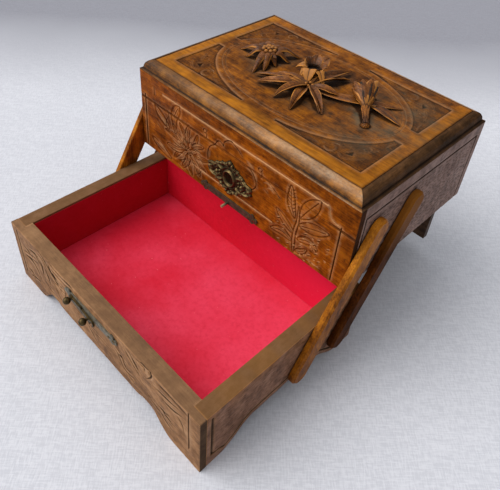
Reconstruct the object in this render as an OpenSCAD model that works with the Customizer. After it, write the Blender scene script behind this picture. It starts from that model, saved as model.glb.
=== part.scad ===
// Carved jewelry box: a lower tray, and an upper box that swings up and back on four wooden links.
// It is drawn half open, as it stands: upper box swung back, lid shut, hook turned down.
// The front faces -Y, the links lie at the left and right sides, and the tray's feet stand on Z = 0.

/* [Overall] */
// Width of the tray and of the upper box
box_w = 200; // [185:1:230]
// Depth of the tray and of the upper box, front to back
box_d = 139.5; // [132:0.5:165]
// How far each front board laps over the ends of the side boards
corner_lap = 5; // [3:0.5:6]

/* [Tray] */
// Height of the tray from the table to its rim
tray_h = 54; // [50:0.5:62]
// Thickness of the tray's front and side boards
tray_wall = 10.5; // [8:0.5:12]
// Thickness of the tray's back board
tray_back_t = 6; // [4:0.5:7]
// Height of the underside of the tray's bottom board above the table
tray_floor_z = 11.3; // [9:0.1:14]
// Thickness of the tray's bottom board
tray_floor_t = 3.5; // [2.5:0.5:5]
// Height of the apron's straight edge above the table
apron_h = 12.2; // [8:0.1:14]
// Height of the small peaks where the apron meets the feet
apron_peak = 14.8; // [10:0.1:18]
// Length of each foot along the front
foot_front_l = 26; // [18:1:40]
// Length of each foot along the sides
foot_side_l = 15; // [12:1:24]
// Height of the arch between the side feet
side_arch_h = 14; // [10:0.5:18]

/* [Upper box] */
// Height of the upper box's body, below the lid
body_h = 44; // [38:0.5:54]
// Thickness of the upper box's front and side boards
body_wall = 7; // [5:0.5:9]
// Thickness of the upper box's back board and of its two long feet
body_back_t = 5; // [4:0.5:6]
// Thickness of the upper box's bottom board
body_floor_t = 3; // [2:0.5:5]
// Width of each long foot of the back board
back_foot_w = 27; // [18:1:40]
// Gap under the long feet when the box is closed
back_foot_lift = 0.7; // [0.4:0.1:3]

/* [Lid] */
// Height of the lid's band
band_h = 21; // [17:0.5:28]
// Height of the moulding above the band
mould_h = 8.2; // [7:0.1:11]
// How far the top panel's edge lies inside the band's face
mould_w = 8; // [6:0.5:10]
// Thickness of the top panel
panel_t = 4.6; // [3.5:0.1:5.5]
// Plain border round the carved corners of the top panel
panel_border = 10.5; // [8:0.5:14]
// Depth of the sunk corners
sunk_d = 1.2; // [0.6:0.1:2]
// Half length of the medallion's oval line
oval_a = 73; // [60:1:76]
// Half width of the medallion's oval line
oval_b = 43; // [36:1:45]

/* [Links] */
// Distance between the two pivots of a link
link_pitch = 93.2; // [88:0.2:98]
// Angle of the links above the table as drawn
link_angle = 59.2; // [50:0.2:80]
// Width of a link
link_w = 14.5; // [12:0.5:18]
// Thickness of a link
link_t = 5; // [4:0.5:7]
// Length of a link beyond each pivot
link_end = 14; // [10:0.5:17]
// Front link's lower pivot, behind the tray's front face
pivot_y = 82.3; // [78:0.1:86]
// Height of the lower pivots above the table
pivot_z = 26.5; // [25:0.1:30]
// Height of the upper pivots above the upper box's underside
box_pivot_z = 37.5; // [34:0.1:38]
// Distance of the rear links behind the front links
pivot_step = 38; // [32:1:42]
// Diameter of the pivot pins
pin_d = 4; // [3:0.1:5]

/* [Fittings] */
// Sideways place of the brass fittings, from the middle
fitting_x = -2.5; // [-8:0.5:8]
// Length of the two catch plates
plate_l = 57; // [44:1:66]
// Height of the two catch plates
plate_h = 7; // [6:0.5:8]
// Thickness of the brass plates
plate_t = 1; // [0.7:0.1:1.4]
// Diameter of the two brass balls
ball_d = 5; // [4:0.1:6]
// Diameter of the catch pin
catch_pin_d = 2; // [1.6:0.1:2.4]
// Height of the keyhole above the upper box's underside
keyhole_z = 25; // [20:0.5:26]
// Width of the escutcheon
escutcheon_w = 44; // [36:1:50]

/* [Fits] */
// Radial running clearance of the pins in the links
run_fit = 0.05; // [0.02:0.01:0.1]
// Radial clearance at the rear links' upper pins, where the linkage is opened
open_fit = 0.1; // [0.06:0.01:0.2]
// Gap between the side boards and the links
side_gap = 0.5; // [0.3:0.1:1]
// Gap between the tray's rim and the upper box when it is closed
seat_gap = 0.2; // [0.1:0.1:0.5]
// Gap beside and in front of the long feet when they drop behind the tray
foot_gap = 0.6; // [0.4:0.1:1]
// Gap between the lid's band and the upper box
lid_gap = 0.1; // [0.05:0.05:0.3]
// Thickness of the cloth lining on its card
lining_t = 0.8; // [0.5:0.1:1.2]

/* [Hidden] */
$fn = 64;
eps = 0.01;

// Colours, as the photograph shows them
tray_wood = [0.50, 0.33, 0.20];
box_wood = [0.60, 0.34, 0.13];
side_wood = [0.42, 0.33, 0.27];
dark_wood = [0.36, 0.23, 0.14];
red_cloth = [0.80, 0.10, 0.18];
old_brass = [0.45, 0.38, 0.22];

// The linkage: the links' height when closed, the upper pivots, and where the upper box stands
close_rise = tray_h + seat_gap + box_pivot_z - pivot_z;
box_pivot_y = pivot_y - sqrt(link_pitch * link_pitch - close_rise * close_rise);
box_y = pivot_y + link_pitch * cos(link_angle) - box_pivot_y;
box_z = pivot_z + link_pitch * sin(link_angle) - box_pivot_z;
swing_closed = 180 - asin(close_rise / link_pitch) - link_angle;
swing_back = link_angle - asin(close_rise / link_pitch);

// Tray, from its front face
tray_in_w = box_w - 2 * tray_wall;
tray_back_y = box_d - body_back_t - foot_gap - tray_back_t;
tray_in_z = tray_floor_z + tray_floor_t;
tray_lining_drop = 1.6;

// Upper box, from its own front lower edge
body_in_w = box_w - 2 * body_wall;
body_back_y = box_d - body_back_t;
body_floor_z = 2;
body_in_z = body_floor_z + body_floor_t;
back_foot_h = tray_h + seat_gap - back_foot_lift;
back_foot_x = tray_in_w / 2 - foot_gap;
body_lining_drop = 3;

// Lid, from its own lower edge
lid_wall = body_wall;
lid_back_y = box_d - body_back_t;
panel_w = box_w - 2 * mould_w;
panel_d = box_d - 2 * mould_w;
flange_t = mould_h - panel_t;
flange_w = mould_w + 7;
panel_mid_y = box_d / 2;

// Feet and apron curves
ogee_l = 20;
peak_l = 9;
side_ogee_l = 28;

// Grooves carved along the boards
groove_w = 1;
groove_d = 0.6;

// Hinges
hinge_l = 24;
hinge_leaf_t = 0.9;
hinge_leaf_w = 4.2;
hinge_r = 1.5;
hinge_back = 1.9;
hinge_pin_r = 0.7;
hinge_x = box_w * 0.28;
knuckle_gap = 0.1;

// Catch: plate height on the tray, hook pivot and the pin it holds
plate_drop = 4.5;
tray_plate_z = tray_h - plate_drop - plate_h / 2;
box_plate_z = plate_h / 2 + 0.6;
catch_pin_l = 6;
catch_pin_z = box_plate_z - 1;
hook_gap = 0.2;
hook_l = 19;
notch_gap = 0.2;
hook_t = 1.2;
hook_w = 4;
hook_dip = 10;
hook_pivot_x = fitting_x - hook_l;
hook_pivot_z = tray_plate_z;
post_r = 1.1;
pin_closed_dz = tray_h + seat_gap + catch_pin_z - hook_pivot_z;
hook_reach = sqrt(hook_l * hook_l + pin_closed_dz * pin_closed_dz);
ball_stem = 0.6;
hook_face_y = -(plate_t + hook_gap + hook_t);
ball_r = ball_d / 2;
post_ball_y = hook_face_y - hook_gap - ball_r;
hook_ball_y = hook_face_y - ball_stem - ball_r;
front_reach = ball_r - min(post_ball_y, hook_ball_y);

// Lock
lock_w = 30;
lock_h = 30;
lock_t = 4;
bolt_w = 9;
bolt_t = 2;
bolt_l = 15;
bolt_travel = 3;
bolt_gap = 0.15;
bolt_drop = 0.2;
strike_w = 3.6;
strike_t = 1;
strike_gap = 0.5;
key_r = 1.9;
key_slot_w = 1.8;
key_slot_h = 5.5;
front_skin = body_wall - lock_t;

// Pivot pins reach from the inner faces of the side boards into blind holes in the links
blind_d = link_t - 1.4;
pin_r = pin_d / 2;
link_in_x = box_w / 2 + side_gap;

// The origin lies under the middle of everything, front ball to hinge knuckle
rear_reach = box_y + box_d + hinge_back + hinge_r;
mid_y = (rear_reach - front_reach) / 2;

// Placing
module on_tray() translate([0, -mid_y, 0]) children();
module on_box() translate([0, box_y - mid_y, box_z]) children();
module on_lid() translate([0, box_y - mid_y, box_z + body_h + lid_gap]) children();
module on_panel(x, y, z = 0) on_lid() translate([x, panel_mid_y + y, band_h + mould_h + z]) children();

// Extrudes an outline drawn in X and Z towards +Y, from y = 0
module upright(depth) translate([0, depth, 0]) rotate([90, 0, 0]) linear_extrude(depth) children();

// Extrudes an outline drawn in Y and Z towards +X, from x = 0
module sidelong(depth) rotate([90, 0, 90]) linear_extrude(depth) children();

// Feet outlines
function ease(a, b, t) = a + (b - a) * (1 - cos(180 * t)) / 2;
function ogee(x0, x1, z0, z1, n = 8) = [for (i = [0:n]) [x0 + (x1 - x0) * i / n, ease(z0, z1, i / n)]];
function mirrored(points) = [for (i = [len(points) - 1:-1:0]) [-points[i][0], points[i][1]]];

function front_half(w, foot_l, peak, apron, lift = 0) = concat(
    ogee(-w / 2 + foot_l, -w / 2 + foot_l + ogee_l, lift, peak + lift),
    ogee(-w / 2 + foot_l + ogee_l + 4, -w / 2 + foot_l + ogee_l + 4 + peak_l, peak + lift, apron + lift)
);

// Board with bracket feet: an outline in X and Z, from z = 0 up to h
module footed_board(w, h, foot_l, peak, apron) {
    edge = front_half(w, foot_l, peak, apron);
    polygon(concat([[-w / 2, h], [-w / 2, 0]], edge, mirrored(edge), [[w / 2, 0], [w / 2, h]]));
}

function side_edge(lift = 0) = concat(
    ogee(foot_side_l, foot_side_l + side_ogee_l, lift, side_arch_h + lift),
    ogee(box_d - foot_side_l - side_ogee_l, box_d - foot_side_l, side_arch_h + lift, lift)
);

module side_outline() polygon(concat([[corner_lap, tray_h], [corner_lap, 0]], side_edge(),
                                     [[box_d, 0], [box_d, tray_h]]));

// A thin band that follows the side's arch, for its carved groove
module side_arch_band() {
    low = side_edge(3.4);
    high = side_edge(3.4 + groove_w);
    polygon(concat(low, [for (i = [len(high) - 1:-1:0]) high[i]]));
}

// Front board with its end rabbets cut for the side boards
module lapped_front(h, wall) {
    difference() {
        children();
        for (side = [-1, 1])
            translate([side > 0 ? box_w / 2 - wall : -box_w / 2 - eps, corner_lap, -eps])
                cube([wall + eps, wall, h + 2 * eps]);
    }
}

// Frame groove on a front face: left and right uprights and a line below the top
module front_grooves(w, top_z, bottom_z, inset) {
    for (side = [-1, 1])
        translate([side * (w / 2 - inset) - groove_w / 2, -eps, bottom_z])
            cube([groove_w, groove_d + eps, top_z - bottom_z]);
}

// Tray boards
module tray_front() color(tray_wood) on_tray() difference() {
    lapped_front(tray_h, tray_wall)
        upright(tray_wall) footed_board(box_w, tray_h, foot_front_l, apron_peak, apron_h);
    front_grooves(box_w, tray_h - 3, 17, 8.5);
}

module tray_back() color(tray_wood) on_tray()
    translate([-tray_in_w / 2, tray_back_y, tray_floor_z])
        cube([tray_in_w, tray_back_t, tray_h - tray_floor_z]);

module pivot_bore(y, z, r)
    translate([-eps, y, z]) rotate([0, 90, 0]) cylinder(h = tray_wall + 2 * eps, r = r);

module tray_side() difference() {
    sidelong(tray_wall) side_outline();
    for (step = [0, pivot_step]) pivot_bore(pivot_y + step, pivot_z, pin_r);
    translate([tray_wall - groove_d, 0, 0]) sidelong(groove_d + eps) side_arch_band();
    for (y = [corner_lap + 4, box_d - 7])
        translate([tray_wall - groove_d, y, foot_side_l])
            cube([groove_d + eps, groove_w, tray_h - foot_side_l - 4]);
}

module tray_right() color(tray_wood) on_tray() translate([tray_in_w / 2, 0, 0]) tray_side();
module tray_left() color(tray_wood) on_tray() mirror([1, 0, 0]) translate([tray_in_w / 2, 0, 0]) tray_side();

module tray_bottom() color(dark_wood) on_tray()
    translate([-tray_in_w / 2, tray_wall, tray_floor_z])
        cube([tray_in_w, tray_back_y - tray_wall, tray_floor_t]);

// Lining: a floor sheet and four wall sheets that stand on it
module lining_floor(w, y0, y1, z) translate([-w / 2, y0, z]) cube([w, y1 - y0, lining_t]);
module lining_long(w, y, z, h) translate([-w / 2, y, z + lining_t]) cube([w, lining_t, h]);
module lining_short(x, y0, y1, z, h)
    translate([x, y0 + lining_t, z + lining_t]) cube([lining_t, y1 - y0 - 2 * lining_t, h]);

tray_lining_h = tray_h - tray_lining_drop - tray_in_z - lining_t;
module tray_lining_floor() color(red_cloth) on_tray()
    lining_floor(tray_in_w, tray_wall, tray_back_y, tray_in_z);
module tray_lining_front() color(red_cloth) on_tray()
    lining_long(tray_in_w, tray_wall, tray_in_z, tray_lining_h);
module tray_lining_back() color(red_cloth) on_tray()
    lining_long(tray_in_w, tray_back_y - lining_t, tray_in_z, tray_lining_h);
module tray_lining_left() color(red_cloth) on_tray()
    lining_short(-tray_in_w / 2, tray_wall, tray_back_y, tray_in_z, tray_lining_h);
module tray_lining_right() color(red_cloth) on_tray()
    lining_short(tray_in_w / 2 - lining_t, tray_wall, tray_back_y, tray_in_z, tray_lining_h);

// Pivot pins, flush with the inner faces of the boards
module pins(x_in, y, z) {
    for (side = [0, 1])
        mirror([side, 0, 0])
            for (step = [0, pivot_step])
                translate([x_in, y + step, z]) rotate([0, 90, 0])
                    cylinder(h = link_in_x + blind_d - 0.4 - x_in, r = pin_r);
}
module lower_pivot_pins() color(old_brass) on_tray() pins(tray_in_w / 2, pivot_y, pivot_z);
module upper_pivot_pins() color(old_brass) on_box() pins(body_in_w / 2, box_pivot_y, box_pivot_z);

// Links: a bar with chamfered edges and round ends, drawn along +X with its inner face at z = 0
link_chamfer = 1.5;
link_arris = 0.4;
function link_half() = [
    [0, 0], [link_w / 2 - link_arris, 0], [link_w / 2, link_arris],
    [link_w / 2, link_t - link_chamfer], [link_w / 2 - link_chamfer, link_t], [0, link_t]
];
module link_bar(upper_r) {
    reach = link_end - link_w / 2;
    difference() {
        union() {
            translate([-reach, 0, 0]) sidelong(link_pitch + 2 * reach)
                polygon(concat(link_half(), mirrored(link_half())));
            for (x = [-reach, link_pitch + reach])
                translate([x, 0, 0]) rotate_extrude() polygon(link_half());
        }
        translate([0, 0, -eps]) cylinder(h = blind_d + eps, r = pin_r + run_fit);
        translate([link_pitch, 0, -eps]) cylinder(h = blind_d + eps, r = upper_r);
    }
}
module link(side, step, upper_r) on_tray() mirror([side, 0, 0])
    translate([link_in_x, pivot_y + step, pivot_z])
        rotate([link_angle, 0, 0]) rotate([90, 0, 90]) link_bar(upper_r);
module link_front_left() color(box_wood) link(1, 0, pin_r + run_fit);
module link_front_right() color(box_wood) link(0, 0, pin_r + run_fit);
module link_rear_left() color(box_wood) link(1, pivot_step, pin_r + open_fit);
module link_rear_right() color(box_wood) link(0, pivot_step, pin_r + open_fit);

// Keyhole outline in X and Z, with its round part at the origin
module keyhole(grow = 0) {
    circle(r = key_r + grow);
    translate([-key_slot_w / 2 - grow, -key_slot_h - grow])
        square([key_slot_w + 2 * grow, key_slot_h + grow]);
}

// Upper box boards
module box_front() color(box_wood) on_box() difference() {
    lapped_front(body_h, body_wall) translate([-box_w / 2, 0, 0]) cube([box_w, body_wall, body_h]);
    front_grooves(box_w, body_h + eps, 1, 10.5);
    translate([-box_w / 2 + 10.5, -eps, 11.5]) cube([box_w - 21, groove_d + eps, groove_w]);
    translate([fitting_x, -eps, keyhole_z]) upright(body_wall) keyhole();
    translate([fitting_x - lock_w / 2, front_skin, body_h - lock_h])
        cube([lock_w, lock_t + eps, lock_h + eps]);
}

module box_back() color(dark_wood) on_box() difference() {
    translate([-body_in_w / 2, body_back_y, 0]) cube([body_in_w, body_back_t, body_h]);
    hinge_mortises(body_h, -hinge_leaf_t);
}

// Long foot at each end of the back board: an ogee bracket that hangs to the table's level
module long_foot_outline() {
    neck = back_foot_h - 4;
    edge = concat(
        ogee(-back_foot_x + back_foot_w, -back_foot_x + back_foot_w + ogee_l, 0, neck),
        ogee(-back_foot_x + back_foot_w + ogee_l + 4, -back_foot_x + back_foot_w + ogee_l + 4 + peak_l,
             neck, back_foot_h));
    polygon(concat([[-back_foot_x, back_foot_h], [-back_foot_x, 0]], edge));
}
module box_long_feet() color(dark_wood) on_box()
    for (side = [0, 1]) mirror([side, 0, 0])
        translate([0, body_back_y, -back_foot_h]) upright(body_back_t) long_foot_outline();

module box_side() difference() {
    translate([0, corner_lap, 0]) cube([body_wall, box_d - corner_lap, body_h]);
    for (step = [0, pivot_step]) pivot_bore(box_pivot_y + step, box_pivot_z, pin_r);
    for (y = [7, box_d - 6]) translate([body_wall - groove_d, y, 1]) cube([groove_d + eps, groove_w, body_h]);
}
module box_right() color(side_wood) on_box() translate([body_in_w / 2, 0, 0]) box_side();
module box_left() color(side_wood) on_box() mirror([1, 0, 0]) translate([body_in_w / 2, 0, 0]) box_side();

module box_bottom() color(dark_wood) on_box()
    translate([-body_in_w / 2, body_wall, body_floor_z])
        cube([body_in_w, body_back_y - body_wall, body_floor_t]);

body_lining_h = body_h - body_lining_drop - body_in_z - lining_t;
module box_lining_floor() color(red_cloth) on_box()
    lining_floor(body_in_w, body_wall, body_back_y, body_in_z);
module box_lining_front() color(red_cloth) on_box()
    lining_long(body_in_w, body_wall, body_in_z, body_lining_h);
module box_lining_back() color(red_cloth) on_box()
    lining_long(body_in_w, body_back_y - lining_t, body_in_z, body_lining_h);
module box_lining_left() color(red_cloth) on_box()
    lining_short(-body_in_w / 2, body_wall, body_back_y, body_in_z, body_lining_h);
module box_lining_right() color(red_cloth) on_box()
    lining_short(body_in_w / 2 - lining_t, body_wall, body_back_y, body_in_z, body_lining_h);

// Catch plates: a strip with a trefoil at each end, drawn in X and Z about its middle
module trefoil(r) {
    translate([r * 1.7, 0]) circle(r = r);
    for (side = [-1, 1]) translate([r * 0.2, side * r * 1.05]) circle(r = r);
}
module catch_strip() {
    lobe = plate_h * 0.28;
    square([plate_l - 5 * lobe, plate_h * 0.72], center = true);
    for (side = [0, 1])
        mirror([side, 0]) translate([plate_l / 2 - 2.7 * lobe, 0]) trefoil(lobe);
}
module tray_catch_plate() color(old_brass) on_tray() translate([fitting_x, -plate_t, tray_plate_z])
    upright(plate_t) catch_strip();

// Post with a ball at its end, standing on the tray's plate
module catch_post() color(old_brass) on_tray() translate([hook_pivot_x, 0, hook_pivot_z]) {
    translate([0, -plate_t, 0]) rotate([90, 0, 0]) cylinder(h = -post_ball_y - plate_t, r = post_r);
    translate([0, post_ball_y, 0]) sphere(r = ball_r);
}

// Hook lever on the post: its notch drops over the upper plate's pin, and a ball is its handle
module hook_outline() {
    difference() {
        union() {
            circle(r = hook_w * 0.62);
            translate([0, -hook_w / 2]) square([hook_reach, hook_w]);
            translate([hook_reach, 0]) circle(r = hook_w * 0.72);
            translate([hook_reach * 0.45, hook_w * 0.3]) circle(r = hook_w * 0.45);
        }
        circle(r = post_r + run_fit);
        translate([hook_reach, 0]) circle(r = catch_pin_d / 2 + notch_gap);
        translate([hook_reach - catch_pin_d / 2 - notch_gap, -hook_w])
            square([catch_pin_d + 2 * notch_gap, hook_w]);
    }
}
module catch_hook() color(old_brass) on_tray() translate([hook_pivot_x, 0, hook_pivot_z]) rotate([0, hook_dip, 0]) {
    translate([0, hook_face_y, 0]) upright(hook_t) hook_outline();
    translate([hook_reach - hook_w, hook_face_y + eps, -0.3]) rotate([90, 0, 0])
        cylinder(h = ball_stem + ball_r, r = post_r * 0.8);
    translate([hook_reach - hook_w, hook_ball_y, -0.3]) sphere(r = ball_r);
}

module box_catch_plate() color(old_brass) on_box() {
    translate([fitting_x, -plate_t, box_plate_z]) upright(plate_t) catch_strip();
    translate([fitting_x, -plate_t + eps, catch_pin_z]) rotate([90, 0, 0])
        cylinder(h = catch_pin_l, r = catch_pin_d / 2);
}

// Escutcheon: scrolled rococo outline with a raised oval boss round the keyhole
module scroll(x, z, r, turn) translate([x, z]) rotate(turn) {
    circle(r = r);
    translate([r * 1.5, 0]) circle(r = r * 0.7);
    translate([r * 2.5, r * 0.4]) circle(r = r * 0.45);
}
module escutcheon_outline() {
    s = escutcheon_w / 44;
    circle(r = 9.5 * s);
    for (side = [0, 1]) mirror([side, 0]) {
        scroll(9 * s, 5 * s, 4.4 * s, 10);
        scroll(8.5 * s, -4 * s, 4.6 * s, -12);
        scroll(4 * s, 10 * s, 3.4 * s, 70);
        scroll(4.5 * s, -10 * s, 2.8 * s, -60);
    }
    translate([0, 12 * s]) circle(r = 3 * s);
    translate([0, -12 * s]) circle(r = 2.4 * s);
}
module escutcheon() color(old_brass) on_box() translate([fitting_x, 0, keyhole_z]) difference() {
    union() {
        translate([0, -plate_t, 0]) upright(plate_t) escutcheon_outline();
        translate([0, -plate_t + eps, 0]) rotate([90, 0, 0]) rotate_extrude()
            polygon([[4.6, 0], [8.2, 0], [7.6, 0.9], [6.4, 1.3], [5.2, 0.9]]);
    }
    translate([0, -plate_t - eps, 0]) upright(plate_t + 2 * eps) keyhole(0.15);
}

// Lock: a case let into the front board, and the bolt that rises into the lid
module bolt_space(grow) translate([-bolt_w / 2 - grow, front_skin + 1 - grow, -bolt_l - 2 * bolt_drop])
    cube([bolt_w + 2 * grow, bolt_t + 2 * grow, bolt_l + 2 * bolt_drop + eps]);
module lock_case() color(old_brass) on_box() translate([fitting_x, 0, body_h]) difference() {
    translate([-lock_w / 2, front_skin, -lock_h]) cube([lock_w, lock_t, lock_h]);
    bolt_space(bolt_gap);
    translate([0, -eps, keyhole_z - body_h]) upright(body_wall + 2 * eps) keyhole();
}
module lock_bolt() color(old_brass) on_box()
    translate([fitting_x - bolt_w / 2, front_skin + 1, body_h - bolt_drop - bolt_l])
        cube([bolt_w, bolt_t, bolt_l]);

// Hinges: leaves let into the back boards, knuckles behind them
module at_hinges() for (x = [-hinge_x, hinge_x]) translate([x, box_d, 0]) children();
module hinge_mortises(edge_z, t) at_hinges()
    translate([-hinge_l / 2, -hinge_leaf_w, edge_z + min(t, -eps)])
        cube([hinge_l, hinge_leaf_w + eps, abs(t) + eps]);
module knuckle(x0, x1, r) translate([x0, hinge_back, 0]) rotate([0, 90, 0]) cylinder(h = x1 - x0, r = r);
module hinge_leaf(z, spans, bore_r) difference() {
    union() {
        translate([-hinge_l / 2, -hinge_leaf_w, z]) cube([hinge_l, hinge_leaf_w, hinge_leaf_t]);
        for (s = spans) {
            translate([s[0], -eps, z]) cube([s[1] - s[0], hinge_back + eps, hinge_leaf_t]);
            knuckle(s[0], s[1], hinge_r);
        }
    }
    knuckle(-hinge_l / 2 - eps, hinge_l / 2 + eps, bore_r);
}
third = hinge_l / 6;
module hinge_leaves_lower() color(old_brass) on_lid() at_hinges()
    hinge_leaf(-lid_gap - hinge_leaf_t, [[-third, third]], hinge_pin_r);
module hinge_leaves_upper() color(old_brass) on_lid() at_hinges()
    hinge_leaf(0, [[-hinge_l / 2, -third - knuckle_gap], [third + knuckle_gap, hinge_l / 2]], hinge_pin_r + run_fit);
module hinge_pins() color(old_brass) on_lid() at_hinges() knuckle(-hinge_l / 2, hinge_l / 2, hinge_pin_r);

// Lid band
module lid_front() color(box_wood) on_lid() difference() {
    lapped_front(band_h, lid_wall) translate([-box_w / 2, 0, 0]) cube([box_w, lid_wall, band_h]);
    translate([-box_w / 2 + 17, -eps, 12]) cube([box_w - 40, groove_d + eps, groove_w]);
    translate([fitting_x, 0, 0]) strike_space();
}
module strike_space() {
    translate([-bolt_w, front_skin + 0.2, -eps]) cube([2 * bolt_w, strike_w, strike_t + eps]);
    translate([-bolt_w / 2 - strike_gap, front_skin + 1 - strike_gap, -eps])
        cube([bolt_w + 2 * strike_gap, bolt_t + 2 * strike_gap, bolt_travel + 2]);
}
module lid_strike() color(old_brass) on_lid() translate([fitting_x, 0, 0]) difference() {
    translate([-bolt_w, front_skin + 0.2, 0]) cube([2 * bolt_w, strike_w, strike_t]);
    translate([-bolt_w / 2 - strike_gap, front_skin + 1 - strike_gap, -eps])
        cube([bolt_w + 2 * strike_gap, bolt_t + 2 * strike_gap, strike_t + 2 * eps]);
}
module lid_side() difference() {
    translate([0, corner_lap, 0]) cube([lid_wall, box_d - corner_lap, band_h]);
    translate([lid_wall - groove_d, 7, 10]) cube([groove_d + eps, box_d - 13 + groove_w, groove_w]);
    for (y = [7, box_d - 6]) translate([lid_wall - groove_d, y, -eps]) cube([groove_d + eps, groove_w, 10 + groove_w]);
}
module lid_right() color(side_wood) on_lid() translate([box_w / 2 - lid_wall, 0, 0]) lid_side();
module lid_left() color(side_wood) on_lid() mirror([1, 0, 0]) translate([box_w / 2 - lid_wall, 0, 0]) lid_side();
module lid_back() color(dark_wood) on_lid() difference() {
    translate([-body_in_w / 2, lid_back_y, 0]) cube([body_in_w, body_back_t, band_h]);
    hinge_mortises(0, hinge_leaf_t);
}

// Moulding round the lid: a ledge, a big round and a flange that carries the top panel
ledge_w = 2;
ledge_h = 1.4;
round_n = 8;
function mould_profile() = concat(
    [[0, 0], [flange_w, 0], [flange_w, flange_t], [mould_w, flange_t]],
    [for (i = [0:round_n]) [ledge_w + (mould_w - ledge_w) * (1 - sin(90 * i / round_n)),
                            ledge_h + (mould_h - ledge_h) * cos(90 * i / round_n)]],
    [[ledge_w, ledge_h - 0.3], [0.3, ledge_h - 0.6]]
);
// One length along X, with its outer face towards -Y and mitred at both ends
module mould_piece(l) {
    intersection() {
        translate([-l / 2, 0, 0]) sidelong(l) polygon(mould_profile());
        translate([0, 0, -eps]) linear_extrude(mould_h + 2 * eps)
            polygon([[-l / 2, 0], [l / 2, 0], [l / 2 - flange_w, flange_w], [-l / 2 + flange_w, flange_w]]);
    }
}
module moulding_front() color(box_wood) on_lid() translate([0, 0, band_h]) mould_piece(box_w);
module moulding_back() color(dark_wood) on_lid()
    translate([0, box_d, band_h]) rotate([0, 0, 180]) mould_piece(box_w);
module moulding_right() color(dark_wood) on_lid()
    translate([box_w / 2, box_d / 2, band_h]) rotate([0, 0, 90]) mould_piece(box_d);
module moulding_left() color(dark_wood) on_lid()
    translate([-box_w / 2, box_d / 2, band_h]) rotate([0, 0, -90]) mould_piece(box_d);

// Top panel with four sunk corners and an oval line
function oval(a, b, from, to, n) = [for (i = [0:n]) let (t = from + (to - from) * i / n) [a * cos(t), b * sin(t)]];
corner_a = oval_a + 9;
corner_b = oval_b + 9;
field_x = panel_w / 2 - panel_border;
field_y = panel_d / 2 - panel_border;
corner_from = acos(min(0.995, (field_x) / corner_a));
corner_to = asin(min(0.995, field_y / corner_b));
module sunk_corner() polygon(concat([[field_x, field_y]], [[field_x, corner_b * sin(corner_from)]],
                                    oval(corner_a, corner_b, corner_from + 1, corner_to - 1, 14),
                                    [[corner_a * cos(corner_to), field_y]]));
module oval_ring() difference() {
    polygon(oval(oval_a, oval_b, 0, 360 - 7.5, 47));
    polygon(oval(oval_a - groove_w, oval_b - groove_w, 0, 360 - 7.5, 47));
}
module lid_panel() color(box_wood) on_panel(0, 0, -panel_t) difference() {
    translate([-panel_w / 2, -panel_d / 2, 0]) cube([panel_w, panel_d, panel_t]);
    for (mx = [0, 1], my = [0, 1])
        mirror([mx, 0, 0]) mirror([0, my, 0]) translate([0, 0, panel_t - sunk_d]) linear_extrude(sunk_d + eps)
            sunk_corner();
    translate([0, 0, panel_t - groove_d]) linear_extrude(groove_d + eps) oval_ring();
}
module lid_lining() color(red_cloth) on_lid()
    translate([-box_w / 2 + flange_w, flange_w, band_h + flange_t - lining_t])
        cube([box_w - 2 * flange_w, box_d - 2 * flange_w, lining_t]);

// Carving. A leaf runs along +X from its foot: its midrib rises and falls, its edges curl down, and a
// groove runs along its middle. Its foot starts inside whatever carries it.
leaf_n = 7;
function leaf_w(s, w) = 0.35 + w / 2 * (0.3 * (1 - s) + 0.92 * pow(sin(170 * pow(s, 0.75) + 5), 0.85));
function leaf_z(s, base, rise, tip) = base * (1 - s) + tip * s + rise * sin(180 * s);
function leaf_ring(x, w, t, z, fold) = [
    [x, -w, z - fold * w], [x, -w * 0.5, z + t * 0.5], [x, 0, z],
    [x, w * 0.5, z + t * 0.5], [x, w, z - fold * w], [x, 0, z - t]
];
module leaf(from, l, w, base, rise, tip, t = 1.5, fold = 0.25) {
    points = [for (i = [0:leaf_n]) let (s = i / leaf_n)
        each leaf_ring(from + l * s, leaf_w(s, w), t * (1 - 0.5 * s), leaf_z(s, base, rise, tip), fold)];
    sides = [for (i = [0:leaf_n - 1], j = [0:5]) let (a = i * 6 + j, b = i * 6 + (j + 1) % 6)
        each [[a, b, a + 6], [b, b + 6, a + 6]]];
    polyhedron(points, concat([[5, 4, 3, 2, 1, 0]], sides, [[for (j = [0:5]) leaf_n * 6 + j]]), convexity = 6);
}

// A round stalk or bead from point to point, and a flat-bottomed boss
module stalk(a, b, ra, rb) hull() {
    translate(a) sphere(r = ra, $fn = 10);
    translate(b) sphere(r = rb, $fn = 10);
}
module boss(r, h) hull() {
    cylinder(h = 0.6, r = r, $fn = 22);
    translate([0, 0, h - 0.4]) cylinder(h = 0.4, r = r * 0.55, $fn = 18);
}

// Edelweiss: woolly outer and inner petals round a heart of beads
edelweiss_petals = [
    [196, 17, 8.5, 0], [243, 14.5, 8, 0.5], [290, 26, 8.5, 0.1], [319, 23, 8.5, 0.6], [352, 17, 8, 0.2],
    [22, 14, 8, 0.7], [57, 17, 8, 0.15], [92, 16, 8, 0.55], [122, 15, 8, 0.05], [156, 16, 8, 0.45]
];
module carved_edelweiss() color(box_wood) on_panel(-45, 3.5) {
    boss(7, 7.5);
    for (p = edelweiss_petals) rotate(p[0]) leaf(3, p[1], p[2], 4.2 + p[3], 2.6, 1.9);
    for (i = [0:5]) rotate(34 + 60 * i) leaf(2.2, 11, 5.6, 6.5 + 0.12 * i, 2, 5.6, 1.2);
    for (i = [0:6]) rotate(10 + 51.4 * i) stalk([3.7, 0.1, 6.9], [4.2, 0, 8.7 - 0.07 * i], 1.6, 1.3);
    stalk([0.1, 0.2, 6.3], [0, 0, 9.7], 2.2, 1.9);
}

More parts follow.
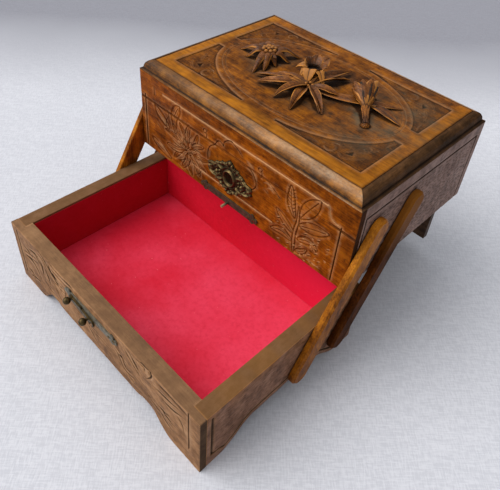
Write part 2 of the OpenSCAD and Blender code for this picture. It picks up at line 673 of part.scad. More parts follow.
// Leaf rosette below the flowers: angle, length, width, height of the tip
rosette_leaves = [
    [207, 31, 7.5, 2.6], [229, 34, 8, 2.8], [259, 28, 7.5, 2.2], [290, 32, 8, 2.2], [322, 33, 8, 2],
    [7, 28, 7.5, 1.6], [41, 22, 7, 1.8], [67, 28, 7, 1.8], [91, 33, 7, 1.8]
];
module carved_rosette() color(box_wood) on_panel(4.5, -7) {
    boss(6.5, 5);
    for (i = [0:8]) let (p = rosette_leaves[i])
        rotate(p[0]) leaf(2.6, p[1], p[2], 3 + (i * 7 % 9) * 0.11, 3, p[3]);
    for (i = [0:7]) rotate(13 + 45 * i) stalk([2, 0, 3.6 + 0.06 * i], [4.6, 0, 3.4], 1.3, 1.1);
}

// Gentian: a standing bell with five pointed lobes that open outwards
module carved_gentian() color(box_wood) on_panel(-11, 11.5) {
    boss(4.2, 3);
    rotate_extrude($fn = 22) polygon([[0, 1.2], [2.2, 1.2], [3.4, 4], [4.4, 8], [6.2, 11.2], [5.4, 11.5],
                                      [3.2, 8.2], [1.2, 6.9], [0, 6.7]]);
    for (i = [0:4]) rotate(-62 + 72 * i)
        leaf(4.1, 8, 6.6, 9 + 0.13 * i, 2, i == 0 ? 6.2 : 9.6, 1.1);
    for (i = [0:4]) rotate(-26 + 72 * i) stalk([3, 0, 2.3], [4.2, 0, 7.7 + 0.05 * i], 0.8, 0.7);
    for (i = [0:2]) rotate(17 + 120 * i) stalk([0.5, 0, 6.1], [1.6, 0, 9.2 + 0.1 * i], 0.7, 0.6);
}

// Bud: a long bell that leans up over the panel from its knob, its petals still half closed
bud_lean = 11;
module carved_bud() color(box_wood) on_panel(57, -17) rotate(130) {
    boss(3.6, 3.2);
    stalk([0.3, 0, 2.9], [8, 0, 4.3], 1.9, 1.5);
    stalk([7.6, 0.1, 4.3], [10.5, 0, 5], 2.4, 3.4);
    stalk([10.2, 0, 5.1], [20, 0, 7], 3.3, 4.1);
    translate([9, 0, 4.8]) rotate([0, -bud_lean, 0]) {
        for (i = [0:5]) rotate([60 * i + 7, 0, 0]) stalk([0.6, 0, 3], [7.5, 0, 3.7 + 0.05 * i], 0.7, 0.45);
        for (i = [0:5]) rotate([60 * i + 37, 0, 0]) leaf(5, 20, 6, 2.7 + 0.1 * i, 1.1, 4.6, 1, 0.3);
    }
}

// Sprig: two narrow leaves beyond the bud
module carved_sprig() color(box_wood) on_panel(53, 3.5) {
    boss(2.4, 2.6);
    rotate(-3) leaf(0.8, 19, 6, 1.9, 2.4, 1.6, 1.2);
    rotate(64) leaf(0.9, 21, 5.5, 2.1, 2.2, 1.6, 1.2);
    for (i = [0:6]) rotate(20 + 51 * i) stalk([0.4, 0, 1.7], [1.3, 0, 1.6 + 0.04 * i], 0.9, 0.75);
}

tray_front();
tray_back();
tray_left();
tray_right();
tray_bottom();
tray_lining_floor();
tray_lining_front();
tray_lining_back();
tray_lining_left();
tray_lining_right();
tray_catch_plate();
catch_post();
catch_hook();
lower_pivot_pins();
link_front_left();
link_front_right();
link_rear_left();
link_rear_right();
box_front();
box_back();
box_left();
box_right();
box_bottom();
box_long_feet();
box_lining_floor();
box_lining_front();
box_lining_back();
box_lining_left();
box_lining_right();
upper_pivot_pins();
box_catch_plate();
escutcheon();
lock_case();
lock_bolt();
hinge_leaves_lower();
hinge_pins();
hinge_leaves_upper();
lid_front();
lid_back();
lid_left();
lid_right();
lid_strike();
lid_panel();
lid_lining();
moulding_front();
moulding_back();
moulding_left();
moulding_right();
carved_edelweiss();
carved_rosette();
carved_gentian();
carved_bud();
carved_sprig();
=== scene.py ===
# Carved jewelry box, dressed: carved boards, lining, brass fittings and the high-relief spray on the lid.
# Shapes are worked out in millimetres in the maker's frame: x = 0 in the middle, y = 0 at the tray's front
# face, z = 0 on the table. piece() turns that into Blender's metres in the frame of the CAD model.
import math

import bmesh
import bpy
import numpy as np
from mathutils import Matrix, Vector


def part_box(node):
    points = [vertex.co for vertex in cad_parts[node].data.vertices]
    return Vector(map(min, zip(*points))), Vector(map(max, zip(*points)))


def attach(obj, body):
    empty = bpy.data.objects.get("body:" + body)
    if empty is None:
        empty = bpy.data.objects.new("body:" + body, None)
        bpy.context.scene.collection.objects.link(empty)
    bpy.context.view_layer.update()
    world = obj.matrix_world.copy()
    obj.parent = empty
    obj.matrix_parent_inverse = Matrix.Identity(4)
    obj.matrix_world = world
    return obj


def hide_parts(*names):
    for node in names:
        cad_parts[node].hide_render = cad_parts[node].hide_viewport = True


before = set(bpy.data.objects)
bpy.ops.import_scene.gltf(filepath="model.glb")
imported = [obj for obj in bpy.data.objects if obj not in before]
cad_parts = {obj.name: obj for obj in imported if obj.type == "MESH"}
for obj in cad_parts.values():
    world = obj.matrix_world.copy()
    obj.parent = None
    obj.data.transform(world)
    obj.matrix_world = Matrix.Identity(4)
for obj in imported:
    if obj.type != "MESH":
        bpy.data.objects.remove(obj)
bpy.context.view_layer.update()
MID_Y = -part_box("tray_front")[0][1] * 1000


def span(node, axis):
    """Low and high end of a CAD node along an axis, in the maker's millimetres."""
    shift = MID_Y if axis == 1 else 0.0
    return [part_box(node)[end][axis] * 1000 + shift for end in (0, 1)]


# Places read from the CAD model
HALF_W, TRAY_WALL, TRAY_TOP = (span("tray_front", axis)[1] for axis in (0, 1, 2))
BOX_Y, BOX_INSIDE_Y = span("box_front", 1)
BOX_WALL = BOX_INSIDE_Y - BOX_Y
BOX_Z = span("box_front", 2)[0]
SEAM_Z, BAND_TOP = span("lid_front", 2)
PANEL_HALF = span("lid_panel", 0)[1]
PANEL_Y0, PANEL_Y1 = span("lid_panel", 1)
PANEL_LOW, TOP_Z = span("lid_panel", 2)
DEPTH = span("box_back", 1)[1] - BOX_Y
PANEL_MID = BOX_Y + DEPTH / 2
SKIN = span("lock_case", 1)[0] - BOX_Y
PLATE_T = -span("tray_catch_plate", 1)[0]

# Sizes chosen here: the upper box's height, how far its front laps over its sides, room for the bolt to each
# side and above, the fittings' middle, the keyhole
BODY_H, LAP, BOLT_ROOM, BOLT_POCKET = 44.0, 5.0, 5.0, 5.0
SEAM_GAP = SEAM_Z - BOX_Z - BODY_H
FITTING_X, KEYHOLE_Z = -2.5, BOX_Z + 25
GROOVE = {"width": 1.9, "depth": 1.0, "dirt": 1.7}
WOOD_EDGE, BRASS_EDGE = 0.0003, 0.00015

# Grime of the hollows, also the colour of painted shade; colour of rubbed wood
GRIME_AND_SHADE, RUBBED = (0.018, 0.010, 0.006), (0.42, 0.22, 0.09)
# Golden wear; grey of dust, also the colour of a painted sheen on the lid
GOLDEN, DUST_AND_SHEEN = (0.50, 0.180, 0.010), (0.15, 0.14, 0.095)
# Brass dirt, also painted shade in a keyhole; brass rubbed bright
BRASS_DIRT_AND_SHADE, BRASS_BRIGHT = (0.020, 0.014, 0.008), (0.40, 0.33, 0.19)
# Cloth: painted light, painted shade, pale specks
CLOTH_LIT, CLOTH_SHADE, CLOTH_SPECK = (0.82, 0.016, 0.075), (0.16, 0.0, 0.001), (0.78, 0.20, 0.23)


# ---------------------------------------------------------------- materials
class Graph:
    """A node tree and short ways to add to it. Each of them returns an output."""

    def __init__(self, tree):
        self.tree = tree
        self.place = self.add("VectorMath", {0: self.add("TexCoord", {}, "Object"), "Scale": 1000.0},
                              operation="SCALE")

    def put(self, socket, value):
        if isinstance(value, bpy.types.NodeSocket):
            self.tree.links.new(value, socket)
        else:
            socket.default_value = (*value, 1.0) if socket.type == "RGBA" and len(value) == 3 else value

    def add(self, kind, inputs, out=0, **settings):
        node = self.tree.nodes.new("ShaderNode" + kind)
        for name, value in settings.items():
            setattr(node, name, value)
        for name, value in inputs.items():
            self.put(node.inputs[name], value)
        return node.outputs[out]

    def noise(self, scale, detail, offset, rough=0.55, twist=0.0, place=None):
        """Noise whose features are 1/scale millimetres long, or so along each axis."""
        moved = self.add("Mapping", {"Vector": self.place if place is None else place,
                                     "Location": (offset, offset * 0.7, offset * 1.3),
                                     "Scale": scale if isinstance(scale, tuple) else (scale,) * 3})
        return self.add("TexNoise", {"Vector": moved, "Scale": 1.0, "Detail": detail, "Roughness": rough,
                                     "Distortion": twist}, "Fac")

    def spread(self, value, low_in, high_in, low_out=0.0, high_out=1.0):
        return self.add("MapRange", {"Value": value, "From Min": low_in, "From Max": high_in,
                                     "To Min": low_out, "To Max": high_out})

    def maths(self, kind, a, b):
        return self.add("Math", {0: a, 1: b}, operation=kind)

    def times(self, a, b):
        return self.maths("MULTIPLY", a, b)

    def plus(self, a, b):
        return self.maths("ADD", a, b)

    def mix(self, share, a, b):
        return self.add("Mix", {0: share, 6: a, 7: b}, 2, data_type="RGBA")

    def field(self, name):
        return self.add("Attribute", {}, "Fac", attribute_name=name)

    def along_axis(self, name, place=None):
        return self.add("SeparateXYZ", {0: self.place if place is None else place}, name)

    def ramp(self, value, stops):
        out = self.add("ValToRGB", {0: value})
        elements = out.node.color_ramp.elements
        elements.new(0.5)
        for element, (place, colour) in zip(elements, stops):
            element.position, element.color = place, (*colour, 1.0)
        return out

    def surface(self, colour, roughness, height, strength, distance):
        """Ends the tree: the shader's colour and roughness, and a bump of the height."""
        shader = self.tree.nodes["Principled BSDF"]
        bump = self.add("Bump", {"Height": height, "Strength": strength, "Distance": distance})
        for name, value in (("Base Color", colour), ("Roughness", roughness), ("Normal", bump)):
            self.put(shader.inputs[name], value)


def new_material(name, **shader_values):
    made = bpy.data.materials.new(name)
    made.use_nodes = True
    shader = made.node_tree.nodes["Principled BSDF"]
    for key, value in shader_values.items():
        shader.inputs[key.replace("_", " ")].default_value = value
    return made, Graph(made.node_tree)


def wood(name, dark, mid, light, axis, seed, rough=0.36, coat=0.0, grime_and_shade=GRIME_AND_SHADE, stain=0.5, gloss=0.2,
         rubbed_and_lit=RUBBED, streak=0.3, lit_above=None):
    """Old oiled wood: figure, fibres, pores, stains, dirt in the hollows, edges pale with wear, and the
    painted shade, highlights and sheen that pieces lay in. The last argument gives the heights between which
    it turns paler, a painted light on its upper part."""
    made, g = new_material(name, Coat_Weight=coat, Coat_Roughness=0.3, Specular_IOR_Level=gloss)

    def grain(along, across, *rest):
        return g.noise(tuple(along if i == axis else across for i in range(3)), *rest)

    figure = grain(0.014, 0.075, 4.0, seed + 3.0, 0.6, 0.9)
    fibre = grain(0.10, 1.3, 5.0, seed + 11.0, 0.65)
    pores = g.spread(grain(0.11, 2.4, 2.0, seed + 23.0), 0.60, 0.70)
    blotch = g.noise(0.045, 5.0, seed + 31.0, 0.68)
    specks = g.spread(g.noise(0.22, 3.0, seed + 47.0), 0.66, 0.74)
    mottle = g.noise(0.13, 5.0, seed + 71.0, 0.7)
    tone = g.plus(g.plus(g.times(figure, streak), g.times(fibre, 0.3)), g.times(mottle, 0.7 - streak))
    colour = g.ramp(tone, ((0.41, dark), (0.5, mid), (0.59, light)))
    colour = g.mix(g.times(pores, 0.45), colour, dark)
    colour = g.mix(g.spread(blotch, 0.42, 0.66, 0.0, stain), colour, dark)
    colour = g.mix(g.times(specks, 0.55), colour, grime_and_shade)
    # Painted light: paler above the given heights
    if lit_above:
        colour = g.mix(g.spread(g.along_axis("Z"), *lit_above, 0.0, 0.6), colour, rubbed_and_lit)
    colour = g.mix(g.times(g.field("gold"), 0.6), colour, GOLDEN)
    # Wear, painted highlights and painted sheen, in the rubbed colour
    colour = g.mix(g.times(g.field("worn"), 0.65), colour, rubbed_and_lit)
    # Dirt in the hollows, and painted shade where a piece lays it in, in the grime colour
    cavity = g.field("cavity")
    dirt = g.times(cavity, g.spread(blotch, 0.2, 0.8, 0.75, 1.15))
    colour = g.mix(g.maths("MINIMUM", dirt, 0.96), colour, grime_and_shade)
    # Dust, and painted sheen where a piece lays it in
    dust = g.times(g.field("dust"), g.spread(blotch, 0.35, 0.6, 0.3, 1.0))
    colour = g.mix(dust, colour, DUST_AND_SHEEN)
    roughness = g.plus(g.spread(blotch, 0.3, 0.7, rough - 0.08, rough + 0.12), g.times(cavity, 0.25))
    height = g.plus(g.times(fibre, 0.35), g.noise(0.16, 3.0, seed + 57.0))
    g.surface(colour, roughness, g.maths("SUBTRACT", height, g.times(pores, 0.5)), 0.35, 0.0003)
    return made


def brass(name, bright, dull, seed=0.0, rough=0.36, metal=1.0, tip=None):
    """Old brass: brown skin, bright with wear where it stands proud, dark in the hollows, with painted shade
    in a keyhole. tip gives the depths between which it turns bright towards the front, where a hook rubs it."""
    made, g = new_material(name, Metallic=metal)
    skin = g.noise(0.35, 5.0, seed, 0.65)
    fine = g.noise(1.8, 3.0, seed + 9.0)
    colour = g.mix(g.spread(skin, 0.36, 0.64), bright, dull)
    colour = g.mix(g.times(g.field("worn"), 0.8), colour, tuple(1.6 * c for c in bright))
    colour = g.mix(g.field("cavity"), colour, BRASS_DIRT_AND_SHADE)
    if tip:
        colour = g.mix(g.spread(g.along_axis("Y"), *tip, 1.0, 0.0), colour, BRASS_BRIGHT)
    roughness = g.spread(skin, 0.3, 0.7, rough, rough + 0.25)
    g.surface(colour, roughness, g.plus(skin, g.times(fine, 0.4)), 0.4, 0.0002)
    return made


def cloth(name, colour, deep, pale, seed, sheen):
    """Crimson cotton glued on card: a fine weave, paler patches and a few pale specks, with painted light and
    painted shade where a sheet lays them in.
    """
    made, g = new_material(name, Sheen_Weight=sheen, Sheen_Roughness=0.45, Sheen_Tint=(1.0, 0.55, 0.62, 1.0),
                           Specular_IOR_Level=0.25)
    patch, mottle = g.noise(0.018, 4.0, seed), g.noise(0.3, 4.0, seed + 5.0, 0.7)
    base = g.mix(g.spread(patch, 0.35, 0.68), colour, pale)
    base = g.mix(g.spread(mottle, 0.45, 0.8, 0.0, 0.4), base, deep)
    # Painted light, paler
    base = g.mix(g.field("worn"), base, CLOTH_LIT)
    # Painted shade, darker
    base = g.mix(g.field("cavity"), base, CLOTH_SHADE)
    flecks = g.spread(g.noise(0.5, 2.0, seed + 13.0), 0.735, 0.76)
    base = g.mix(g.times(flecks, 0.5), base, CLOTH_SPECK)
    threads = [g.add("TexWave", {"Vector": g.place, "Scale": scale, "Distortion": 0.6, "Detail": 1.0}, "Fac",
                     bands_direction=way) for way, scale in (("X", 0.55), ("Y", 0.6), ("Z", 0.6))]
    weave = g.plus(g.plus(threads[0], threads[1]), threads[2])
    g.surface(base, g.spread(mottle, 0.3, 0.7, 0.62, 0.8), g.plus(g.times(weave, 0.25), mottle), 0.3, 0.0003)
    return made


# Its rubbed colour is also the painted highlight of the panel's outlines
LID_TOP = wood("lid_top_wood", (0.050, 0.015, 0.003), (0.200, 0.058, 0.005), (0.38, 0.122, 0.007), 0, 1.0,
               stain=0.6, gloss=0.04, rubbed_and_lit=(0.44, 0.25, 0.13))
# Its pale rubbed colour is also the painted highlight along the cuts
FRONT = wood("front_wood", (0.075, 0.018, 0.002), (0.220, 0.052, 0.003), (0.38, 0.106, 0.006), 0, 20.0, 0.42,
             gloss=0.04, rubbed_and_lit=(0.74, 0.41, 0.19))
# Its rubbed colour is a pale tan that also paints the crown's sheen
MOULD = wood("moulding_wood", (0.070, 0.026, 0.007), (0.28, 0.100, 0.014), (0.48, 0.190, 0.028), 0, 40.0,
             0.42, 0.04, (0.020, 0.016, 0.014), 0.6, 0.09, (0.54, 0.365, 0.225))
# A darker copy of the moulding's wood for the side mouldings: painted shade
MOULD_SIDE_SHADED = wood("moulding_side_wood", (0.026, 0.012, 0.004), (0.078, 0.033, 0.011), (0.140, 0.062, 0.022),
                  1, 50.0, 0.42, stain=0.6, gloss=0.05, rubbed_and_lit=(0.20, 0.105, 0.050))
# The side boards' wood, greyer than the front's: a painted reflection of the pale room
SIDE_SHEEN = wood("box_side_wood", (0.125, 0.072, 0.056), (0.250, 0.150, 0.118), (0.34, 0.210, 0.168), 1, 60.0, 0.5,
            stain=0.35, gloss=0.1, rubbed_and_lit=(0.36, 0.235, 0.19), streak=0.1)
TRAY = wood("tray_wood", (0.13, 0.058, 0.024), (0.30, 0.145, 0.060), (0.43, 0.225, 0.100), 0, 80.0, 0.52,
            0.0, (0.030, 0.016, 0.009), 0.55, 0.08, (0.42, 0.24, 0.13))
# A darker, greyer copy of the tray's wood for its side boards: painted shade
TRAY_SIDE_SHADED = wood("tray_side_wood", (0.110, 0.050, 0.028), (0.245, 0.118, 0.070), (0.34, 0.178, 0.112), 1,
                 90.0, 0.5, 0.0, (0.034, 0.020, 0.010), 0.4, 0.08, (0.34, 0.165, 0.055), 0.1)
LINK = wood("link_wood", (0.10, 0.027, 0.003), (0.32, 0.100, 0.006), (0.52, 0.185, 0.012), 2, 110.0, 0.38,
            0.03, gloss=0.08, stain=0.6, streak=0.4)
# A darker copy of the links' wood for the rear links, as painted shade, with painted light on their upper ends
LINK_REAR_SHADED = wood("rear_link_wood", (0.026, 0.006, 0.001), (0.084, 0.021, 0.002), (0.15, 0.042, 0.005), 2,
                 115.0, 0.45, gloss=0.03, stain=0.6, streak=0.4, rubbed_and_lit=(0.30, 0.110, 0.016),
                 lit_above=(78.0, 108.0))
# Dark wood for the back, the feet and the bottoms, which lie in shade: painted shade
BACK_SHADED = wood("back_wood", (0.026, 0.012, 0.006), (0.064, 0.030, 0.014), (0.108, 0.054, 0.025), 0, 130.0, 0.5,
            0.02)
CARVED = wood("carved_wood", (0.045, 0.014, 0.003), (0.165, 0.050, 0.006), (0.34, 0.115, 0.015), 0, 150.0,
              coat=0.03, rubbed_and_lit=(0.84, 0.34, 0.055))
BRASS = brass("old_brass", (0.135, 0.092, 0.038), (0.052, 0.037, 0.018))
BRASS_DARK = brass("dark_brass", (0.20, 0.180, 0.130), (0.075, 0.068, 0.052), 30.0, 0.42, 0.55)
BRASS_BROWN = brass("brown_brass", (0.105, 0.083, 0.050), (0.040, 0.031, 0.019), 37.0, 0.42, 0.55,
                    tip=(BOX_Y - MID_Y - 5.6, BOX_Y - MID_Y - 2.6))
RED = cloth("red_cloth", (0.66, 0.007, 0.032), (0.50, 0.002, 0.016), (0.78, 0.044, 0.098), 0.0, 0.12)
# A darker copy of the lining cloth for the walls: painted shade
RED_WALL_SHADED = cloth("red_wall_cloth", (0.56, 0.001, 0.016), (0.42, 0.0005, 0.008), (0.66, 0.006, 0.032), 40.0,
                 0.0)


# ---------------------------------------------------------------- meshes
def outward(mesh):
    form = bmesh.new()
    form.from_mesh(mesh)
    bmesh.ops.recalc_face_normals(form, faces=form.faces)
    form.to_mesh(mesh)
    form.free()


def piece(name, points, faces, material, body, replaced=(), slot=None, smooth=40.0, **fields):
    """Makes one object from points in the maker's millimetres, and seats it on a CAD body."""
    mesh = bpy.data.meshes.new(name)
    world = (np.asarray(points, float) - (0, MID_Y, 0)) / 1000.0
    mesh.from_pydata(world.tolist(), [], [list(map(int, f)) for f in faces])
    mesh.update()
    made = bpy.data.objects.new(name, mesh)
    bpy.context.scene.collection.objects.link(made)
    outward(mesh)
    # Fields: dirt with painted shade, wear with painted light, dust with painted sheen, golden wear
    for key in ("cavity", "worn", "dust", "gold"):
        layer = mesh.attributes.new(key, "FLOAT", "POINT")
        layer.data.foreach_set("value", np.asarray(fields.get(key, np.zeros(len(points))), float))
    mesh.shade_smooth()
    mesh.set_sharp_from_angle(angle=math.radians(smooth))
    mesh.materials.append(material)
    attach(made, body)
    if replaced:
        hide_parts(*replaced)
    return made


class Shape:
    """Points and faces of several closed forms, with dirt and wear for each point, painted shade and painted
    highlights among them.
    """

    def __init__(self):
        self.points, self.faces, self.cavity, self.worn = [], [], [], []

    def join(self, points, faces, cavity, worn):
        count = sum(map(len, self.points))
        self.faces += [[i + count for i in f] for f in faces]
        for kept, new in ((self.points, points), (self.cavity, cavity), (self.worn, worn)):
            kept.append(new)

    def make(self, name, material, body, replaced=(), slot=None, smooth=40.0):
        points = np.concatenate(self.points)
        piece(name, points, self.faces, material, body, replaced, slot, smooth,
              cavity=np.concatenate(self.cavity), worn=np.concatenate(self.worn))
        return points


def unit(values):
    return np.clip(values, 0, 1)


def bell(values):
    return np.exp(-values ** 2)


def ease(a, b, t):
    return a + (b - a) * (1 - np.cos(np.pi * unit(t))) / 2


def around(x, y, r, angle):
    return x + r * math.cos(angle), y + r * math.sin(angle)


def pts(points):
    """Points as an array, given as pairs of numbers or as text."""
    if isinstance(points, str):
        points = np.array(points.replace(",", " ").split(), float).reshape(-1, 2)
    return np.asarray(points, float)


def smooth_line(points, steps=6):
    """A curve through the points, with `steps` short chords between each pair."""
    p = pts(points)
    if len(p) < 3:
        return p
    ends = np.vstack([2 * p[0] - p[1], p, 2 * p[-1] - p[-2]])
    out = []
    for a, b, c, d in zip(ends[:-3], ends[1:-2], ends[2:-1], ends[3:]):
        for t in np.arange(steps) / steps:
            out.append(0.5 * (2 * b + (c - a) * t + (2 * a - 5 * b + 4 * c - d) * t ** 2
                              + (3 * b - a - 3 * c + d) * t ** 3))
    return np.array([*out, p[-1]])


def along(u, v, line):
    """For each point of the plane: distance to a line, and how far along the line it lies, from 0 to 1."""
    steps = np.hypot(*(line[1:] - line[:-1]).T)
    total, done = max(steps.sum(), 1e-6), 0.0
    best, share = np.full(u.shape, 1e9), np.zeros(u.shape)
    for a, b, step in zip(line[:-1], line[1:], steps):
        d = b - a
        t = unit(((u - a[0]) * d[0] + (v - a[1]) * d[1]) / max(step * step, 1e-9))
        far = np.hypot(u - a[0] - t * d[0], v - a[1] - t * d[1])
        near = far < best
        best = np.where(near, far, best)
        share = np.where(near, (done + t * step) / total, share)
        done += step
    return best, share


def inside(u, v, corners):
    found = np.zeros(u.shape, bool)
    for (x0, y0), (x1, y1) in zip(corners, np.roll(corners, -1, axis=0)):
        found ^= ((y0 > v) != (y1 > v)) & (u < (x1 - x0) * (v - y0) / (y1 - y0 + 1e-12) + x0)
    return found


def at_peak(share, peak):
    """Stretches a share so that it is a half at the peak."""
    return np.where(share < peak, share / peak * 0.5, 0.5 + (share - peak) / (1 - peak) * 0.5)


def tapered(share, ends, reach, least, power):
    """Size along a cut: 1, but nearly nothing at each end that is named."""
    size = np.ones_like(share)
    for name, way in (("start", share), ("end", 1 - share)):
        if ends in ("both", name):
            size = size * np.clip(way / reach, least, 1) ** power
    return size


def lattice(u, v, pitch, seed, size=64):
    """Smooth random values from 0 to 1, about `pitch` millimetres apart."""
    table = np.random.default_rng(seed).random((size, size))
    gu, gv = u / pitch + 1000.0, v / pitch + 1000.0
    iu, iv = np.floor(gu).astype(int), np.floor(gv).astype(int)
    fu, fv = gu - iu, gv - iv
    fu, fv = fu * fu * (3 - 2 * fu), fv * fv * (3 - 2 * fv)
    a, b = table[iu % size, iv % size], table[(iu + 1) % size, iv % size]
    c, d = table[iu % size, (iv + 1) % size], table[(iu + 1) % size, (iv + 1) % size]
    return (a * (1 - fu) + b * fu) * (1 - fv) + (c * (1 - fu) + d * fu) * fv


def dimples(u, v, pitch, seed, long=1.0, size=97):
    """Small round or oval marks of a punch, 1 in the middle of each, set out unevenly."""
    rng = np.random.default_rng(seed)
    ju, jv = rng.random((size, size)), rng.random((size, size))
    gu, gv = u / (pitch * long) + 500.0, v / pitch + 500.0
    iu, iv = np.floor(gu).astype(int), np.floor(gv).astype(int)
    best = np.full(u.shape, 9.0)
    for du in (-1, 0, 1):
        for dv in (-1, 0, 1):
            cu, cv = iu + du, iv + dv
            pu = cu + 0.15 + 0.7 * ju[cu % size, cv % size]
            pv = cv + 0.15 + 0.7 * jv[cu % size, cv % size]
            best = np.minimum(best, np.hypot(gu - pu, gv - pv))
    return unit(1 - best / 0.5)


def blurred(h, cells):
    """The grid, averaged three times along each axis over some cells to each side."""
    cells = max(1, int(round(cells)))
    for axis in (0, 1, 0, 1, 0, 1):
        room = [(0, 0), (0, 0)]
        room[axis] = (cells + 1, cells)
        total, near = np.cumsum(np.pad(h, room, "edge"), axis), np.arange(h.shape[axis])
        h = (total.take(near + 2 * cells + 1, axis) - total.take(near, axis)) / (2 * cells + 1)
    return h


def padded(values, count):
    """Values of a face's grid, then zeros for a slab's other points."""
    out = np.zeros(count)
    out[:values.size] = values.ravel()
    return out


def leaf(points, width, peak, crown, vein, full=0.8, ribs=0, lift=0.0):
    """A leaf's middle line, its greatest width and where along it that is, how far it rounds down to its
    edge, the depth of its vein, how full it is, how many ribs it has and how high it stands."""
    return smooth_line(points, 5), width, peak, crown, vein, full, ribs, lift


class Relief:
    """A carved face: heights over a grid of (u, v), in millimetres, 0 at the board's own face."""

    def __init__(self, u0, u1, v0, v1, step, bottom=None, arris=0.5):
        self.arris, self.step = arris, step
        self.u = np.linspace(u0 + arris, u1 - arris, round((u1 - u0) / step) + 1)
        rows = np.linspace(0, 1, round((v1 - v0) / step) + 1)
        lowest = np.full_like(self.u, v0) if bottom is None else bottom(self.u)
        self.U = np.repeat(self.u[:, None], len(rows), 1)
        self.V = (lowest + arris)[:, None] + (v1 - arris - lowest - arris)[:, None] * rows[None, :]
        self.h, self.paint, self.rub_and_highlight = (np.zeros_like(self.U) for _ in range(3))

    # Stains go into the dirt field: real stains and dirt, and painted shade where a caller lays it in
    def stain(self, amount, cols=slice(None)):
        self.paint[cols] = np.maximum(self.paint[cols], amount)

    # Polish is wear and a painted highlight
    def polish_and_highlight(self, amount, cols):
        self.rub_and_highlight[cols] = np.maximum(self.rub_and_highlight[cols], amount)

    def part(self, line, margin):
        """The columns near a line, if any."""
        (u0, v0), (u1, v1) = line.min(0) - margin, line.max(0) + margin
        lo, hi = np.searchsorted(self.u, (u0, u1))
        missed = hi - lo < 2 or v0 > self.V.max() or v1 < self.V.min()
        return slice(0, 0) if missed else slice(max(lo - 1, 0), hi + 1)

    def near(self, points, margin, curve=6):
        """The columns near a line, with the distance to it and the share along it at each place there."""
        line = smooth_line(points, curve)
        cols = self.part(line, margin)
        return cols, *along(self.U[cols], self.V[cols], line)

    def cut(self, points, width, depth, taper="none", curve=6, dirt=0.0, rub_and_highlight=0.0):
        """A V cut along a line. taper names the ends that run out to nothing; its rub says how much it is
        polished pale: wear and a painted highlight.
        """
        cols, far, share = self.near(points, width, curve)
        size = tapered(share, taper, 0.45, 0.05, 0.7)
        dip = unit(1 - far / (width / 2 * size)) * size
        self.h[cols] -= depth * dip
        self.stain(dirt * unit(dip * 1.6), cols)
        self.polish_and_highlight(rub_and_highlight * unit(dip * 2.2), cols)

    def stroke(self, points, width, depth, rub_and_highlight, dirt, curve=6):
        """A cut that tapers at both ends, pale with polish and a painted highlight, or else dirty."""
        self.cut(points, width, depth, "both", curve, 0.0 if rub_and_highlight else dirt, rub_and_highlight)

    def ridge(self, points, width, rise):
        """A rounded ridge left standing along a line, with the wood taken away on both sides of it."""
        cols, far, share = self.near(points, 3 * width)
        size = unit(np.minimum(share, 1 - share) / 0.25) * (far < 3 * width)
        self.h[cols] -= size * rise * (np.exp(-(far / width - 1.1) ** 2 / 0.18) - 0.1 * bell(far / width))
        self.polish_and_highlight(0.8 * size * bell(far / (0.4 * width)), cols)

    def scoop(self, points, width, depth, taper="both"):
        """A round gouge cut along a line."""
        cols, far, share = self.near(points, width)
        size = tapered(share, taper, 0.5, 0.02, 0.5)
        self.h[cols] -= depth * size * bell(far / (0.36 * width * size))

    def leaves(self, forms, ground, reach, level=0.03):
        """Leaves left standing while the wood round them is cut down, less so farther out."""
        cols = self.part(np.vstack([form[0] for form in forms]), 9.0)
        u, v = self.U[cols], self.V[cols]
        top, nearest = np.full(u.shape, -99.0), np.full(u.shape, 99.0)
        for line, width, peak, crown, vein, full, ribs, lift in forms:
            far, share = along(u, v, line)
            half = width / 2 * (0.12 + 0.88 * np.sin(np.pi * unit(at_peak(share, peak))).clip(0) ** full)
            body = level + lift - crown * unit(far / half) ** 2
            body = body - vein * bell(far / 0.3) * (share < 0.93)
            for k in range(ribs):
                body = body - 0.2 * bell((far - half * (k + 1) / (ribs + 1)) / 0.26)
            top = np.where(far < half, np.maximum(top, body), top)
            nearest = np.minimum(nearest, far - half)
        sunk = -ground * bell(np.clip(nearest, 0, None) / reach)
        before = self.h[cols]
        self.h[cols] = np.where(top > -9, np.minimum(before, 0) * 0.3 + top, np.minimum(before, sunk))

    def sink(self, shape, depth, bevel):
        """Cuts the ground down inside a shape, with sloping sides. Returns the columns and the depth there."""
        cols = self.part(shape, bevel)
        u, v = self.U[cols], self.V[cols]
        far, _ = along(u, v, np.vstack([shape, shape[:1]]))
        deep = np.where(inside(u, v, shape), unit(far / bevel), 0)
        self.h[cols] -= depth * deep
        return cols, deep

    def wobble(self, size, pitch, seed):
        self.h += size * (lattice(self.U, self.V, pitch, seed) - 0.5)

    def fields(self, dirt, wear):
        """Dirt in the hollows and wear on what stands proud, with the stains and polish laid in, painted shade
        and painted highlights among them.
        """
        near, wide = (blurred(self.h, reach / self.step) - self.h for reach in (1.1, 3.5))
        hollow = (unit(near / 0.2) * 0.75 + unit(wide / 0.8) * 0.35) * (1 - self.rub_and_highlight)
        proud = unit(-near / 0.14 - 0.15)
        return unit(np.maximum(hollow * dirt, self.paint)), unit(np.maximum(proud * wear, self.rub_and_highlight))


def boundary(nu, nv):
    """Grid corners round the rim in order, with the way out of the grid at each."""
    cells = np.array([(i, 0) for i in range(nu)] + [(nu - 1, j) for j in range(1, nv)]
                     + [(i, nv - 1) for i in range(nu - 2, -1, -1)] + [(0, j) for j in range(nv - 2, 0, -1)])
    return cells[:, 0] * nv + cells[:, 1], (cells == (nu - 1, nv - 1)) * 1.0 - (cells == 0)


def quads(nu, nv):
    grid = np.arange(nu * nv).reshape(nu, nv)
    return np.stack([grid[:-1, :-1], grid[1:, :-1], grid[1:, 1:], grid[:-1, 1:]], -1).reshape(-1, 4)


